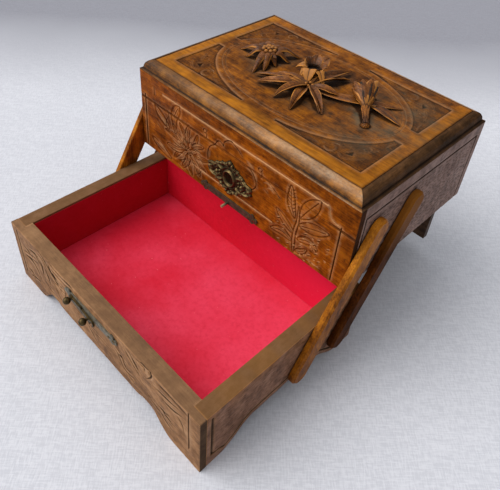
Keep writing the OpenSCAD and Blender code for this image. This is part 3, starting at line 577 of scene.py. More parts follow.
def hoops(rings, n):
    """Faces of a tube of rings with n points each, closed by a flat face at each end."""
    last = (rings - 1) * n
    sides = [[i + j, i + (j + 1) % n, i + n + (j + 1) % n, i + n + j]
             for i in range(0, last, n) for j in range(n)]
    return sides + [list(range(n)), list(range(last, last + n))]


def slab(relief, thick, place, dirt=1.0, wear=1.0, edge_worn=0.6, end_dirt=0.0, rim_worn=0.1, rim_dirt=0.0):
    """A closed board whose face is the relief. place turns (u, v, out) into the maker's frame."""
    nu, nv = relief.h.shape
    index, ways = boundary(nu, nv)
    n = len(index)
    cavity, worn = (field.ravel() for field in relief.fields(dirt, wear))
    u, v, h = relief.U.ravel(), relief.V.ravel(), relief.h.ravel()
    points, hollow, proud = [place(u, v, h)], [cavity], [worn]
    ends = np.where(np.abs(ways[:, 0]) > 0.5, end_dirt, rim_dirt)

    def ring(out, level, dirty, rubbed_and_lit):
        points.append(place(u[index] + ways[:, 0] * out, v[index] + ways[:, 1] * out, level))
        hollow.append(dirty)
        proud.append(np.full(n, rubbed_and_lit))

    for k, (degrees, kept) in enumerate(((30, 1.0), (60, 0.85), (90, 0.2))):
        a, last = math.radians(degrees), k == 2
        ring(relief.arris * math.sin(a), h[index] * (1 - (k + 1) / 3) - relief.arris * (1 - math.cos(a)),
             np.maximum(cavity[index] * kept, ends if last else 0), max(edge_worn, rim_worn if last else 0))
    ring(relief.arris, np.full(n, -float(thick)), ends, rim_worn)
    rings = [index] + [nu * nv + k * n + np.arange(n) for k in range(4)]
    faces = quads(nu, nv).tolist()
    for near, far in zip(rings[:-1], rings[1:]):
        faces += np.stack([near, far, np.roll(far, -1), np.roll(near, -1)], -1).tolist()
    back = rings[-1]
    under, over = back[:nu], back[nu + nv - 2:2 * nu + nv - 2][::-1]
    faces.append([*under[:2], over[1], *back[2 * nu + nv - 3:]])
    faces += [[under[i], under[i + 1], over[i + 1], over[i]] for i in range(1, nu - 2)]
    faces.append([under[-2], *back[nu - 1:nu + nv - 1], over[-2]])
    return np.concatenate(points), faces, np.concatenate(hollow), np.concatenate(proud)


def facing_front(y):
    return lambda u, v, out: np.stack([u, y - out, v], -1)


def facing_side(side):
    return lambda u, v, out: np.stack([side * (HALF_W + out), u, v], -1)


def facing_up(z):
    return lambda u, v, out: np.stack([u, v, z + out], -1)


# ---------------------------------------------------------------- boards
def apron(x):
    """Lower edge of the tray's front: bracket feet, a small peak, a straight apron."""
    a = np.abs(x)
    return np.where(a < 50, ease(12.2, 14.8, (a - 41) / 9), ease(0, 14.8, (74 - a) / 20))


def side_arch(y):
    return np.where(y > 96.5, ease(14, 0, (y - 96.5) / 28), ease(0, 14, (y - 15) / 28))


def frame_front(face):
    """Grooves of the upper box's front, shared by the box and the lid's band."""
    for x, top, width in ((-94.7, 116, 1.5), (89.5, 112, 1.0)):
        face.cut([(x, top), (x, BOX_Z + 1)], width, 0.9, dirt=1.0)
    face.cut("-74 124.8, 20 124.7", 1.3, 0.6, rub_and_highlight=1.0)
    face.cut("20 124.7, 77.5 124.7", 1.5, 0.6, rub_and_highlight=1.0)
    face.cut("77.5 125.3, 79.3 124.5, 80.6 119.2, 83.2 116.2, 89.5 115.4", 1.1, 0.7, rub_and_highlight=0.8)
    face.cut("-42 82.3, 38 82.3", 1.1, 0.5, rub_and_highlight=0.9)
    face.cut("89.5 115.4, 89.5 112", 1.0, 0.8, dirt=0.6)
    face.cut("-83.8 126.6, -83.8 120", 0.9, 0.8, dirt=0.9)


def cartouche(face):
    """The shield round the lock plate, its curls and its crescents."""
    for line in ("-25 97, -25.2 103, -24 107.5, -21.5 110.5, -18.5 112.6",
                 "-18.5 112.6, -15.5 117.6, -12 118.2, -10 116.6",
                 "-10 116.6, -9 120.6, -3.5 124, 3 121.6, 8 118",
                 "8 113.2, 13 112.8, 17.2 111.4, 20 108, 21.6 103.4, 20.4 99.6, 17.8 97"):
        face.cut(line, 0.95, 0.6, "none", 8, dirt=0.75)
    face.cut("-23 98, -23.3 103, -22.2 106.4", 0.9, 0.4, "both", rub_and_highlight=0.5)
    face.cut("15 114, 20 110.6, 22.6 106", 1.2, 0.5, "both", rub_and_highlight=0.6)
    for x, y in ((-28.5, 118.3), (24, 116.8)):
        face.cut([around(x, y, 2.1 * (1 - 0.5 * k / 11), a) for k, a in enumerate(np.linspace(0.4, 6.4, 12))],
                 0.9, 0.6, "none", 3, dirt=0.7)
        face.cut([(x + 1.6, y - 1.2), (x + 1.8, y - 3.6), (x + 0.6, y - 6)], 0.9, 0.6, "end", dirt=0.7)
    for line, rub_and_highlight in (("27 109.4, 32 111, 38.5 109.4", 0.6), ("30.5 106.8, 34 108.3, 38 106.4", 0.7),
                      ("26.5 105, 31 104.4, 34.5 101.4", 0.0), ("29 113.8, 38 108.8, 46 104.6", 0.0),
                      ("10 118.4, 16 116, 20 113", 0.6), ("12 116.4, 18 113", 0.5)):
        face.stroke(line, 1.1, 0.6, rub_and_highlight, 0.6)


def edelweiss_front(face):
    """Edelweiss cut in the front: long furrowed petals round a heart of small pits."""
    x, z = -46.0, 91.5
    forms = []
    petals = pts("8 21, 37 20, 62 21, 88 22, 116 21, 141 22, 168 26, 196 25, 222 22, 250 20, 281 20, 309 20, "
                 "337 20")
    for k, (angle, length) in enumerate(petals):
        a, odd = math.radians(angle), k % 2
        line = [around(x, z, 3, a), around(x, z, 0.55 * length, a + (0.16 if odd else -0.14)),
                around(x, z, length, a)]
        forms.append(leaf(line, 3.4 if odd else 2.8, 0.62, 0.14, 0.42, 0.6, 1, 0.0 if odd else -0.12))
    face.leaves(forms, 0.6, 0.7)
    for angle, reach in pts("22 15, 50 18, 75 16, 102 18, 128 17, 154 18, 182 20, 209 19, 236 17, 265 16, "
                            "295 16, 323 16, 352 17"):
        a, b = math.radians(angle), math.radians(angle + 9)
        for shift, far, rub_and_highlight in ((0.0, 1.0, 0.0), (0.10, 0.86, 0.8), (-0.11, 1.08, 0.7)):
            face.stroke([around(x, z, 7, a + shift), around(x, z, 11, b + shift),
                         around(x, z, far * reach, a + shift)], 0.8, 0.5, rub_and_highlight, 0.7, 5)
    face.leaves([leaf([around(x, z, 2, a), around(x, z, 9, a)], 2.8, 0.6, 0.2, 0.25, lift=0.15)
                 for a in np.radians(np.arange(20, 380, 51.4))], 0.35, 0.6)
    for k in range(19):
        u, v = around(x, z, 0.0 if k == 0 else 1.9 if k < 7 else 3.7, 2.4 * k)
        face.scoop([(u, v), (u + 0.1, v)], 1.2, 0.6, "none")


def bud_front(face):
    """Bud, stem and broad leaves at the front's left end; the bud crosses the seam."""
    face.leaves([leaf("-60 104, -61.5 109, -61 114, -56.2 123.4", 6.8, 0.72, 0.3, 0.45, ribs=1),
                 leaf("-83 111, -78 106.5, -68 99.8", 6.0, 0.4, 0.3, 0.4),
                 leaf("-88 80.5, -79 76.5, -67 72.8", 5.4, 0.45, 0.3, 0.4)], 0.45, 1.3)
    for line, rub_and_highlight in (("-66 112, -71 104, -69 95", 0.0), ("-57 103, -60 98, -58 93", 0.0),
                      ("-87 83, -79 79.4, -70 75", 0.7), ("-82 108, -76 104.4, -70 101", 0.6),
                      ("-85 99, -79 95, -74 93", 0.0), ("-61 76, -54 72.5, -48 71", 0.0),
                      ("-40 73.5, -34 78, -31 84", 0.0), ("-72 118, -68 112, -67 106", 0.0)):
        face.stroke(line, 1.0, 0.5, rub_and_highlight, 0.5)


def plant_front(face):
    """The upright plant at the front's right end, with broad leaves and a serrated spike."""
    face.leaves([leaf("60.5 102.5, 65 111, 72.4 123.4", 9.6, 0.5, 0.14, 0.5),
                 leaf("60.5 95.6, 69 99.2, 81.8 104", 7.6, 0.5, 0.14, 0.5),
                 leaf("55.5 99, 51.8 108, 50.2 121", 5.8, 0.4, 0.2, 0.4),
                 leaf("56.5 86, 48 91.5, 41 96.5", 5.4, 0.45, 0.2, 0.4),
                 leaf("56 79, 47 81, 38.5 78", 5.6, 0.45, 0.2, 0.4),
                 leaf("60.5 84, 69 88, 76 86", 5.2, 0.45, 0.2, 0.4),
                 leaf("58.2 71, 57.2 86, 58.6 98, 57.8 109", 2.0, 0.3, 0.2, 0.0),
                 leaf("60 73, 65 76, 68.5 80", 3.6, 0.4, 0.2, 0.25)], 0.55, 0.75)
    for k in range(7):
        z = 102 + 2.7 * k
        x = 52.6 - 0.13 * (z - 104)
        for near, far in ((-0.4, -3.0), (0.4, 2.8)):
            face.cut([(x + near, z), (x + far, z + 2.0)], 0.8, 0.5, "start", dirt=0.6)
    for x, z in pts("73 88, 79 77, 76 94, 84 92, 45 72, 50 104, 66 105, 71 77, 48 87, 53 74, 66 92, 63 79, "
                    "43 90, 76 82"):
        face.cut([(x - 1.6, z - 1), (x + 1.8, z + 1.2)], 1.1, 0.5, "both", dirt=0.6)
        face.cut([(x - 1.4, z + 0.2), (x + 1.6, z + 2.2)], 0.9, 0.3, "both", rub_and_highlight=0.9)
        face.cut([(x + 1.0, z - 2.6), (x - 1.4, z - 4.0)], 0.9, 0.4, "both", rub_and_highlight=0.6, dirt=0.3)
    face.cut("68 72.6, 75 73, 82 72.5", 1.2, 0.5, "both", rub_and_highlight=0.7)
    rng = np.random.default_rng(17)
    for k, (x, z, way) in enumerate(rng.uniform((58, 70, -0.9), (86, 97, 0.9), (30, 3))):
        reach = 1.3 + 0.5 * math.sin(5 * k)
        face.stroke([around(x, z, -reach, way), around(x, z, reach, way)], 1.0, 0.5, 0.9 * (k % 2), 0.7)


def front_relief(z0, z1, seed):
    face = Relief(-HALF_W, HALF_W, z0, z1, 0.36)
    for carve in (bud_front, edelweiss_front, plant_front, frame_front, cartouche):
        carve(face)
    face.wobble(0.16, 7.0, seed)
    face.wobble(0.10, 2.6, seed + 1)
    share = np.interp(face.U, (-100, -25, 0, 38, 46, 77, 84, 100), (1.0, 0.9, 0.5, 0.6, 0.12, 0.12, 0.9, 1.0))
    face.stain(unit(1.2 * share * bell((face.V - SEAM_Z) / 0.8)))
    face.h -= 0.5 * share * bell((face.V - SEAM_Z) / 0.7)
    return face


def keyhole_pit(face):
    u, v = face.U - FITTING_X, face.V - KEYHOLE_Z
    hole = (np.hypot(u, v) < 1.9) | ((np.abs(u) < 0.9) & (v < 0) & (v > -5.5))
    # The keyhole: a shallow pit painted fully dark, as painted shade in the hole
    face.h[hole] = -2.8
    face.paint[hole] = 1.0


def front_board(name, node, body, face, columns):
    """A carved skin on a back that leaves room for the lock: columns, each (x, low end, high end)."""
    plain = {"edge_worn": 0.0, "end_dirt": 0.85, "rim_worn": 0.0}
    made = Shape()
    made.join(*slab(face, SKIN, facing_front(BOX_Y), 0.62, 0.42, **plain))
    for y0, y1, half in ((SKIN, LAP, HALF_W), (LAP, BOX_WALL, HALF_W - BOX_WALL)):
        for (x0, z0, z1), (x1, _, _) in zip(columns[:-1], columns[1:]):
            part = Relief(max(x0, -half), min(x1, half), z0, z1, 4.0, arris=0.01)
            made.join(*slab(part, y1 - y0, facing_front(BOX_Y + y0), **plain))
    made.make(name, FRONT, body, [node], "box_wood")


def box_fronts():
    z0, z1 = BOX_Z, SEAM_Z - SEAM_GAP
    face = front_relief(z0, z1, 5)
    keyhole_pit(face)
    (left, right), (under, _) = span("lock_case", 0), span("lock_case", 2)
    front_board("upper_front_board", "box_front", "upper_box", face,
                [(-HALF_W, z0, z1), (left, z0, under), (right, z0, z1), (HALF_W, z0, z1)])
    (left, right), (_, over), z0, z1 = span("lid_strike", 0), span("lid_strike", 2), SEAM_Z, BAND_TOP
    front_board("lid_front_board", "lid_front", "lid", front_relief(z0, z1, 9),
                [(-HALF_W, z0, z1), (left, over, z1), (FITTING_X - BOLT_ROOM, z0 + BOLT_POCKET, z1),
                 (FITTING_X + BOLT_ROOM, over, z1), (right, z0, z1), (HALF_W, z0, z1)])


def upper_sides():
    """The box's and the lid's side boards: a frame groove, and rows of small gouge marks inside it."""
    near, far, low, top = BOX_Y + 7.5, BOX_Y + 133.2, BOX_Z - 1, 125
    for z0, z1, node, body, label in ((BOX_Z, BOX_Z + BODY_H, "box", "upper_box", "upper"),
                                      (SEAM_Z, BAND_TOP, "lid", "lid", "lid")):
        for name, side, seed in (("right", 1, 30), ("left", -1, 40)):
            face = Relief(BOX_Y + LAP, BOX_Y + DEPTH, z0, z1, 0.4)
            u, v = face.U, face.V
            field = unit(np.minimum(np.minimum(u - BOX_Y - 8.5, BOX_Y + 132 - u), 123.5 - v))
            face.h -= 0.24 * field * dimples(v * 0.35 + u, v, 2.1, seed, 2.2)
            for line in ([(near, low), (near, top)], [(near, top), (far, top)], [(far, top), (far, low)]):
                face.cut(line, **GROOVE)
            face.wobble(0.12, 6.0, seed + 1)
            points, faces, hollow, proud = slab(face, BOX_WALL, facing_side(side), 1.0, 0.5)
            piece(f"{label}_{name}_board", points, faces, SIDE_SHEEN, body, [f"{node}_{name}"], "side_wood",
                  cavity=hollow, worn=proud)


# Carving of the tray's front: hollows (line, width, depth), ridges (line, width), gouge cuts, thin lines
TRAY_HOLLOWS = (
    ("-61 53, -53.1 46, -45.2 39.1, -37 31.6", 2.8, 1.3), ("-71.6 46.9, -64.2 41.4, -63.6 29", 2.4, 1.1),
    ("-88 30.2, -78 32, -72.4 27, -69.4 18", 2.3, 1.1), ("-92 16.5, -85.6 15, -76.9 13.3", 2.2, 1.0),
    ("-53.2 52, -50 44.6, -43.4 42, -37.8 37.4", 2.2, 1.0), ("-80 43.2, -71 44.4, -66.4 38.4", 2.0, 0.9),
    ("-59.2 40.1, -56.4 33.6, -55.2 26", 2.0, 0.9), ("-88 41, -80 39, -75 36", 1.8, 0.8),
    ("-50 34, -45.6 28.4, -42 22", 1.7, 0.8), ("63.2 22.9, 69.4 17.5, 77.2 14.5", 1.7, 0.8),
    ("65.9 39.8, 75.1 39, 86.6 43.6", 1.7, 0.8), ("-9.3 29.9, -3.1 22.6, 1.2 18.8", 1.5, 0.7),
    ("-88.8 9.2, -77.5 13.4, -70.7 15.6", 1.4, 0.7), ("-40.7 50.9, -30.1 51.9, -19.8 52.9", 1.4, 0.6),
    ("36.9 53.5, 40.4 47.3, 46.6 39.3", 1.6, 0.9), ("58.2 42.8, 72.3 44.5, 84.3 47.9", 1.4, 0.7),
    ("61.9 26.9, 68.2 25.8, 74.6 27.8", 1.8, 0.9), ("22 36.2, 28.9 34.9, 34 33.5", 1.4, 0.6),
    ("65.1 27.4, 69.7 23.9, 78.3 22.2", 1.3, 0.6),
    ("43.8 52, 51.2 53.5, 57.6 53.5, 57.9 48.6, 52.5 41", 1.5, 0.8))
TRAY_RIDGES = (
    ("-55.4 53.5, -47.3 50.3, -34.9 49.3, -21.1 51.7", 2.0), ("-66.5 52, -58.4 49.3, -53.9 43", 1.8),
    ("-90.2 31.9, -79.2 35.6, -68.6 39.1", 1.6), ("-50.8 38.7, -42.5 37.3, -33.8 38.3", 1.6),
    ("33 51.8, 38.2 46.4, 44.2 41, 49 38.6", 2.0), ("60.6 52.8, 74.3 53.5, 92.2 53.5", 2.4),
    ("19 40, 25.6 36.6, 31.3 26.6, 42 28.2", 1.8), ("47.2 53.3, 53.6 53, 54.6 47.3", 2.0))
TRAY_SCOOPS = (
    ("-62 33, -66 40, -67 47", 3, 0.5), ("-80 8, -84 12, -85 18", 3, 0.5), ("52 27, 60 22, 70 20", 2.5, 0.4),
    ("33 24, 37 21, 42 20", 3, 0.5), ("-38 46, -34 38, -36 30", 3, 0.5), ("-50 31, -44 24, -38 20", 3, 0.4),
    ("-64 25, -58 20, -52 19", 2.5, 0.4), ("80 40, 85 34, 87 27", 3, 0.4))
TRAY_LINES = ("-30 33, -8 32, 22 32", "-32 30, -8 29, 24 29", "-56 50, -54 45, -51 40")


def tray_front_face():
    """Sweeping leaves at the left, a tulip-like leaf and a raised band at the right."""
    face = Relief(-HALF_W, HALF_W, 0.0, TRAY_TOP, 0.4, apron)
    for line, width in TRAY_RIDGES:
        face.ridge(line, width, 0.45)
    for line, width, depth in TRAY_HOLLOWS:
        face.cut(line, 1.4 * width, 1.2 * depth, "both", dirt=1.7)
        # A pale line beside each hollow: a painted highlight on its lit edge
        face.cut(pts(line) + (0.8 * width, 0.6 * width), 1.0, 0.25, "both", rub_and_highlight=1.0)
    for line, width, depth in TRAY_SCOOPS:
        face.scoop(line, width, depth)
    for line in TRAY_LINES:
        face.cut(line, 1.0, 0.5, "both", dirt=0.5)
    face.cut("90.7 54, 90.7 15", 1.1, 0.9, dirt=0.95)
    face.cut("-93.4 50.5, -93.4 9", 1.9, 0.9, dirt=1.4)
    face.wobble(0.2, 8.0, 51)
    face.wobble(0.12, 2.6, 52)
    return face


def tray_boards():
    front, rim = Shape(), {"rim_worn": 0.5, "rim_dirt": 0.4}
    front.join(*slab(tray_front_face(), LAP, facing_front(0.0), 0.9, edge_worn=0.35, end_dirt=0.85, **rim))
    backing = Relief(-HALF_W + TRAY_WALL, HALF_W - TRAY_WALL, 0.0, TRAY_TOP, 1.5, apron, 0.01)
    front.join(*slab(backing, TRAY_WALL - LAP, facing_front(LAP), edge_worn=0.5, **rim))
    front.make("tray_front_board", TRAY, "tray", ["tray_front"], "tray_wood")
    near, far, low, top = 9.2, 132.5, 9.2, 50
    arch = np.linspace(16, 123, 36)[1:]
    low_line = [(near, low), (16, 7.4), *zip(arch, side_arch(arch) + 4.6)]
    for name, side, seed in (("right", 1, 61), ("left", -1, 71)):
        face = Relief(LAP, DEPTH, 0.0, TRAY_TOP, 0.45, side_arch)
        u, v = face.U, face.V
        face.cut(low_line, 2.0, 1.0, curve=2, dirt=1.7)
        face.cut([(near, top), (near, low)], **GROOVE)
        face.cut([(far, top), (far, low)], **GROOVE)
        field = unit(np.minimum(np.minimum(u - 11, 130 - u), np.minimum(v - side_arch(u) - 6.5, top - v)))
        face.h -= 0.16 * field * dimples(v * 0.35 + u, v, 2.3, seed, 2.2)
        face.wobble(0.16, 7.0, seed + 1)
        points, faces, hollow, proud = slab(face, TRAY_WALL, facing_side(side), 0.9, 0.4, rim_worn=0.85,
                                            rim_dirt=0.5)
        gold = padded(0.3 * bell((TRAY_TOP - v) / 9) * unit(lattice(u, v, 9.0, seed + 3) * 1.6), len(points))
        # The right rim alone is golden: wear, and painted light, as the left rim lies in shade
        if name == "right":
            rim = points[v.size:]
            gold[v.size:] = 0.7 * unit(lattice(rim[:, 1], rim[:, 2], 8.0, seed + 9) * 1.7)
        piece(f"tray_{name}_board", points, faces, TRAY_SIDE_SHADED, "tray", [f"tray_{name}"], "tray_wood",
              cavity=hollow, worn=proud, gold=gold)


# ---------------------------------------------------------------- lid
def ellipse(a, b, start, end, n):
    t = np.radians(np.linspace(start, end, n))
    return np.stack([a * np.cos(t), PANEL_MID + b * np.sin(t)], -1)


def spandrel(sx, sy):
    """Corner field between the border and the oval, at side sx, sy; its ends are cut off square."""
    a, b, x1, y1, end_x, end_y = 78.0, 50.0, 83.0, 51.0, 14.6, 8.6
    arc = ellipse(a, b, math.degrees(math.asin(end_y / b)), math.degrees(math.acos(end_x / a)), 26)
    corners = np.vstack([(x1, PANEL_MID + y1), (x1, PANEL_MID + end_y), arc, (end_x, PANEL_MID + y1)])
    return (corners - (0, PANEL_MID)) * (sx, sy) + (0, PANEL_MID)


def corner_ornament(face, sx, sy):
    """Curls, leaves and small cuts in one sunk corner."""
    def at(points):
        return pts(points) * (sx, sy) + (0, PANEL_MID)

    def scroll(x, y, r, start, turns):
        return at([around(x, y, r * (1 - 0.55 * t), start + t * turns) for t in np.linspace(0, 1, 14)])

    face.leaves([leaf(scroll(56, 44, 4.6, 2.6, -4.6), 2.4, 0.4, 0.2, 0.0, 0.5),
                 leaf(at("60.5 43.4, 66 47.5, 72 44.5, 77 38"), 3.0, 0.4, 0.3, 0.3),
                 leaf(at("70 37, 74.5 31.5, 77.4 24"), 3.2, 0.4, 0.3, 0.3),
                 leaf(scroll(72, 30, 3.4, 4.4, 4.2), 1.9, 0.4, 0.2, 0.0, 0.5),
                 leaf(at("39 48.4, 45 47, 50 47.6"), 2.6, 0.4, 0.3, 0.2),
                 leaf(at("27 49.6, 32 49.2, 37 49.4"), 1.8, 0.4, 0.3, 0.0),
                 leaf(at("78.6 20, 79 15, 80.4 11"), 2.0, 0.4, 0.3, 0.0)], 0.0, 0.1, -0.12)
    face.sink(at("64.5 43.4, 70.5 41.5, 68 36.6"), 0.9, 1.2)
    for k in range(9):
        x, y = 76 - 3.4 * k, 27 + 2.2 * k
        face.stroke(at([(x, y), (x + 1.9, y - 1.9)]), 0.9, 0.45, 0.0 if k % 2 else 0.6, 0.5)
    face.cut(at("52.5 41.2, 56 38.6, 60 39.4"), 1.0, 0.4, "both", rub_and_highlight=0.9)
    face.cut(at("52 46.6, 56 48.8, 60.4 46.4"), 0.9, 0.3, "both", rub_and_highlight=0.9)


def to_edge(face):
    """Distance of each place of the panel to the panel's edge."""
    return np.minimum(PANEL_HALF - np.abs(face.U), (PANEL_Y1 - PANEL_Y0) / 2 - np.abs(face.V - PANEL_MID))


def panel_face():
    """The lid's panel: four sunk corners with ornament, two ovals, and a ground that dips in the middle."""
    face = Relief(-PANEL_HALF, PANEL_HALF, PANEL_Y0, PANEL_Y1, 0.38, arris=0.7)
    for sx, sy in ((-1, -1), (-1, 1), (1, -1), (1, 1)):
        shape = spandrel(sx, sy)
        cols, deep = face.sink(shape, 0.65, 0.8)
        punched = dimples(face.U[cols], face.V[cols], 1.25, 7 + sx + 2 * sy)
        face.h[cols] -= 0.14 * unit(deep * 2 - 1) * punched
        face.stain(deep * ((0.40 if sx > 0 else 0.26) + 0.25 * punched), cols)
        corner_ornament(face, sx, sy)
        face.cut(np.vstack([shape, shape[:1]]), 0.6, 0.3, curve=1, rub_and_highlight=0.65)
    for a, b, rub_and_highlight in ((71.5, 42.5, 0.4), (74.0, 45.0, 0.65)):
        face.cut(ellipse(a, b, 0, 360, 121), 0.6, 0.4, curve=1, rub_and_highlight=rub_and_highlight)
    dish = 1 - np.hypot((face.U - 2) / 66, (face.V - PANEL_MID) / 38)
    face.h -= 0.5 * unit(dish * 2.2) ** 1.3
    face.h -= 0.25 * bell(to_edge(face) / 1.3)
    face.wobble(0.16, 9.0, 81)
    face.wobble(0.08, 2.6, 82)
    return face


def under_spray(face, spray):
    """1 where the panel lies under the spray, else 0."""
    low_points = spray[spray[:, 2] < TOP_Z + 6.0]
    i = np.clip(np.searchsorted(face.u, low_points[:, 0]), 0, face.h.shape[0] - 1)
    j = np.clip(np.searchsorted(face.V[0], low_points[:, 1]), 0, face.h.shape[1] - 1)
    covered = np.zeros_like(face.h)
    covered[i, j] = 1.0
    return covered


def lid_top(spray):
    """The panel with painted shade right under the spray, dirt and dust round it, a painted sheen towards its
    far end, and a border golden with wear at the front and the ends.
    """
    face = panel_face()
    u, v = face.U, face.V
    covered = under_spray(face, spray)
    shade_under_spray, about = unit(blurred(covered, 2.0) * 4.0), unit(blurred(covered, 9.0) * 2.2)
    # Painted shade: the panel darkened right under the spray
    face.stain(0.92 * shade_under_spray)
    middle = unit(1.25 - np.hypot((u - 12) / 84, (v - PANEL_MID - 8) / 56))
    patches = lattice(u, v, 14.0, 85) * 0.6 + lattice(u, v, 4.0, 86) * 0.4
    face.stain(0.66 * middle * unit(patches - 0.18))
    face.stain(0.7 * bell(to_edge(face) / 0.9))
    points, faces, hollow, proud = slab(face, TOP_Z - PANEL_LOW, facing_up(TOP_Z), 1.0, 0.28, edge_worn=0.1)
    # Painted sheen: the field greyer towards its far end, laid in with the dust round the spray
    far_end_sheen = 0.45 * unit((u - 25) / 35) * unit(middle * 2) * patches
    dust = (0.6 * about + far_end_sheen) * (1 - shade_under_spray)
    front, left, right = PANEL_Y0 + 12 - v, -PANEL_HALF + 12 - u, u - PANEL_HALF + 11
    golden = unit(front / 6) + unit(left / 6) + 0.6 * unit(right / 6)
    streaks = lattice(u * 0.10, v, 0.8, 87) * 0.6 + lattice(u * 0.3, v, 2.2, 88) * 0.5
    gold = unit(golden) * unit(1.35 - patches) * (0.25 + 1.3 * streaks)
    piece("lid_top_panel", points, faces, LID_TOP, "lid", ["lid_panel"], "box_wood", cavity=hollow,
          worn=proud, dust=padded(dust, len(points)), gold=padded(gold, len(points)))


def mould_profile():
    """Distance in from the band's face and height above the band, then how dirty each point is and how much
    wear and painted sheen it has.
    """
    rows = [(0.35, 0.0, 0.3, 0.0), (0.0, 0.35, 0.1, 0.5), (0.25, 0.85, 0.2, 0.5), (1.2, 1.05, 0.6, 0.0),
            (1.9, 1.1, 1.0, 0.0), (2.0, 1.5, 1.0, 0.0)]
    for k in range(19):
        a = math.radians(90 * k / 18)
        crown = math.sin(a) * math.cos(a) * 2
        rows.append((2.1 + 5.7 * (1 - math.cos(a)), 1.7 + 6.2 * math.sin(a),
                     0.7 * (1 - crown) ** 3 if k < 9 else 0.5 * (1 - crown) ** 8,
                     0.22 * crown ** 3 + 0.7 * math.sin(a) ** 2))
    rows += [(7.9, 8.05, 0.8, 0.0), (8.0, 3.6, 1.0, 0.0), (14.9, 3.55, 0.0, 0.0), (14.9, 0.05, 0.0, 0.0)]
    return np.array(rows).T


def moulding(side, across, place, material, slot, seed, shine=(0.6, 0.6), dark=0.0):
    """One mitred length. place turns (sideways, in from the face, up) into the maker's frame. shine says how
    much wear and painted sheen the crown has at its two ends, dark how much painted shade darkens its first
    end."""
    inward, rise, dirty, rubbed_and_lit = mould_profile()
    t = np.linspace(0, 1, 320)[:, None]
    d, z = inward + 0 * t, rise + 0 * t
    s = (-across / 2 + d) + (across - 2 * d) * t
    dent = 0.14 * (lattice(s, d * 2 + z, 5.0, seed) - 0.5)
    dent = dent + 0.08 * (lattice(s, d * 2 + z, 1.7, seed + 1) - 0.5)
    dent = np.where((dirty + rubbed_and_lit > 0) & (inward > 2.0) & (inward < 7.85), np.abs(dent), 0)
    d, z = d + dent, z - dent
    patch = lattice(s, d * 3, 9.0, seed + 2)
    cavity = unit(dirty * (0.75 + 0.5 * patch))
    # Painted shade towards the first end, as much as dark says
    cavity = np.maximum(cavity, dark * np.interp(t, (0.0, 0.1, 0.2, 0.42, 0.7), (1.0, 0.95, 0.6, 0.35, 0.0)))
    cavity = np.maximum(cavity, 0.8 * bell(np.minimum(t, 1 - t) * across / 0.5))
    specks = lattice(s, d * 3, 1.3, seed + 3) * 0.5 + lattice(s, d * 3, 0.6, seed + 4) * 0.5
    # Wear and painted sheen on the crown, growing towards the end that shine favours
    worn = rubbed_and_lit * (0.4 + 0.9 * patch) * (0.35 + 1.2 * specks) * (shine[0] + (shine[1] - shine[0]) * t)
    points = place(s.ravel(), d.ravel(), z.ravel() + BAND_TOP)
    piece(f"{side}_moulding", points, hoops(*s.shape), material, "lid", [f"moulding_{side}"], slot, 35,
          cavity=cavity.ravel(), worn=unit(worn).ravel())


def mouldings():
    # The front crown: painted sheen growing towards its right end, painted shade at its left end. The right
    # crown: painted sheen fading towards the back.
    moulding("front", 2 * HALF_W, lambda s, d, z: np.stack([s, BOX_Y + d, z], -1), MOULD, "box_wood",
             91, (0.1, 1.2), 0.5)
    moulding("back", 2 * HALF_W, lambda s, d, z: np.stack([s, BOX_Y + DEPTH - d, z], -1), MOULD, "back_wood",
             92)
    moulding("right", DEPTH, lambda s, d, z: np.stack([HALF_W - d, PANEL_MID + s, z], -1), MOULD_SIDE_SHADED,
             "side_wood", 93, (0.45, 0.1))
    moulding("left", DEPTH, lambda s, d, z: np.stack([-HALF_W + d, PANEL_MID + s, z], -1), MOULD_SIDE_SHADED,
             "side_wood", 94)


# ---------------------------------------------------------------- the carved spray
def spin(points, degrees, a, b):
    """Turns points in the plane of axes a and b, from a towards b."""
    c, s = math.cos(math.radians(degrees)), math.sin(math.radians(degrees))
    out = np.array(points, float)
    out[:, a], out[:, b] = c * points[:, a] - s * points[:, b], s * points[:, a] + c * points[:, b]
    return out


